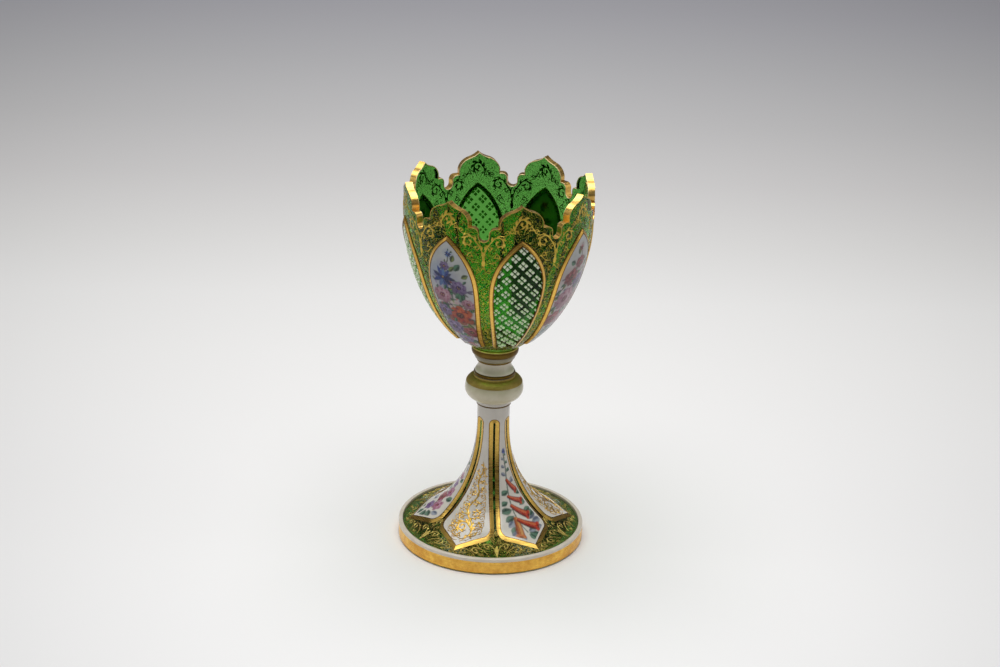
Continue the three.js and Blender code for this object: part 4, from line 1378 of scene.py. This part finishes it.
spray = spray_strokes()
for i, azimuth in enumerate((-30, 90, -150)):
    azimuth += FRONT_SLOT
    gilt_lines(f"tongue_spray_{i + 1}", spray, flare_side, azimuth, 0.06, 0.1, golds["pen"])
print("strokes in each spray:", len(spray))

# %% Gold round the foot
# Curls on the green between two tongues (start, centre, radius, width)
GROUND_CURLS = [
    ((0.8, 3.0), (4.3, 7.2), 1.8, 0.34), ((4.4, 2.6), (9.8, 4.5), 2.0, 0.36),
    ((10.4, 1.6), (15.4, 3.4), 1.6, 0.3), ((15.4, 1.0), (19.6, 2.0), 1.0, 0.24),
    ((6.4, 1.2), (7.6, 2.2), 0.8, 0.2), ((1.4, 8.6), (1.9, 10.6), 0.8, 0.2),
]


def ground_strokes():
    """Scrolls on the green between two tongues, from the slot's end to the rim."""
    side = []
    for start, centre, r, width in GROUND_CURLS:
        side += scroll(start, centre, r, -1, 1.15, 0.75 * width, 3, 0.4 * r + 0.3, 0.7, 0.2)
    strokes = both_sides(side) + scroll((-0.6, 11.0), (0.2, 14.0), 0.9, -1, 1.3, 0.24, 3, 0.9, 0.6)
    strokes.append((walk(0.3, 7.4, -98, 6.2, 0.03, 0.06), 0.6))
    strokes.append((walk(0.1, 6.6, -58, 3.2, -0.2, -0.4), 0.4))
    strokes.append((walk(-0.1, 6.6, -122, 3.2, 0.2, 0.4), 0.4))
    return strokes


scrolls = ground_strokes()
for i in range(6):
    azimuth = FRONT_SLOT + 60 * i
    gilt_lines(f"foot_scroll_{i + 1}", scrolls, flare_side, azimuth, -0.7, 0.12, golds["foot"])
ground = [p for p in flare_points if p[0] > CORNER_REACH]
finished(spun(skin_of(ground, -0.66, -0.69), 192), "foot_worm_lines", foot_worms, "gilding")
print("foot gilded")

# %% [markdown]
# ## Studio
# A pale floor, a wide soft lamp overhead and a soft lamp at each side. The floor's colour darkens towards
# the back and the sides, as painted fall-off of the lamps' light.

# %% Floor
bm = bmesh.new()
bmesh.ops.create_grid(bm, x_segments=8, y_segments=8, size=4)
floor_mesh = bpy.data.meshes.new("floor")
bm.to_mesh(floor_mesh)
bm.free()
floor = bpy.data.objects.new("floor", floor_mesh)
bpy.context.collection.objects.link(floor)
paper, tree, shader = material_of("paper", Roughness=0.7)
# Places from front to back, and the floor's colours there: painted fall-off of the light towards the back
FLOOR_PAINTED_FALLOFF = [
    (0.0, (0.882, 0.877, 0.87)), (0.051, (0.884, 0.878, 0.87)), (0.112, (0.872, 0.865, 0.857)),
    (0.224, (0.862, 0.855, 0.842)), (0.293, (0.844, 0.838, 0.825)), (0.371, (0.779, 0.771, 0.757)),
    (0.466, (0.709, 0.696, 0.691)), (0.573, (0.657, 0.649, 0.651)), (0.705, (0.629, 0.625, 0.64)),
    (0.849, (0.615, 0.609, 0.648)), (1.0, (0.62, 0.613, 0.655)),
]
axes = node(tree, "SeparateXYZ", {0: own_place(tree)}).outputs
ramp = node(tree, "ValToRGB", {"Fac": spread(tree, axes["Y"], -0.1, 1.3)})
for stop, _ in FLOOR_PAINTED_FALLOFF[1:-1]:
    ramp.color_ramp.elements.new(stop)
for element, (stop, colour) in zip(ramp.color_ramp.elements, FLOOR_PAINTED_FALLOFF):
    element.position, element.color = stop, (*colour, 1)
# Painted shade: the floor's colour also darkens towards the left and right
slant = maths(tree, "DIVIDE", axes["X"], maths(tree, "ADD", axes["Y"], 1.0))
centred = maths(tree, "SUBTRACT", slant, 0.02)
painted_side_shade = spread(tree, maths(tree, "MULTIPLY", centred, centred), 0.0, 0.08, 1.0, 0.8)
feed(shader, {"Base Color": mixed(tree, 1.0, ramp.outputs["Color"], painted_side_shade, "MULTIPLY")})
floor_mesh.materials.append(paper)
print("floor laid")


# %% Lamps and world
def soft_lamp(name, place, aim, size, watts):
    """A soft lamp that points at a place."""
    data = bpy.data.lights.new(name, "AREA")
    data.shape, data.energy = "RECTANGLE", watts
    data.size, data.size_y = size
    lamp = bpy.data.objects.new(name, data)
    lamp.location = place
    lamp.rotation_euler = (Vector(aim) - Vector(place)).to_track_quat("-Z", "Y").to_euler()
    bpy.context.collection.objects.link(lamp)


soft_lamp("overhead", (-0.08, 0.0, 1.3), (-0.05, 0, 0.1), (1.4, 1.2), 19.5)
soft_lamp("left", (-1.0, -0.1, 0.5), (0, 0, 0.12), (0.5, 0.9), 1.2)
soft_lamp("right", (1.0, -0.1, 0.5), (0, 0, 0.12), (0.5, 0.9), 1.2)
world = bpy.data.worlds.new("studio")
bpy.context.scene.world = world
world.use_nodes = True
feed(world.node_tree.nodes["Background"], {"Color": (0.25, 0.25, 0.26, 1), "Strength": 0.5})
print("lamps and world set")
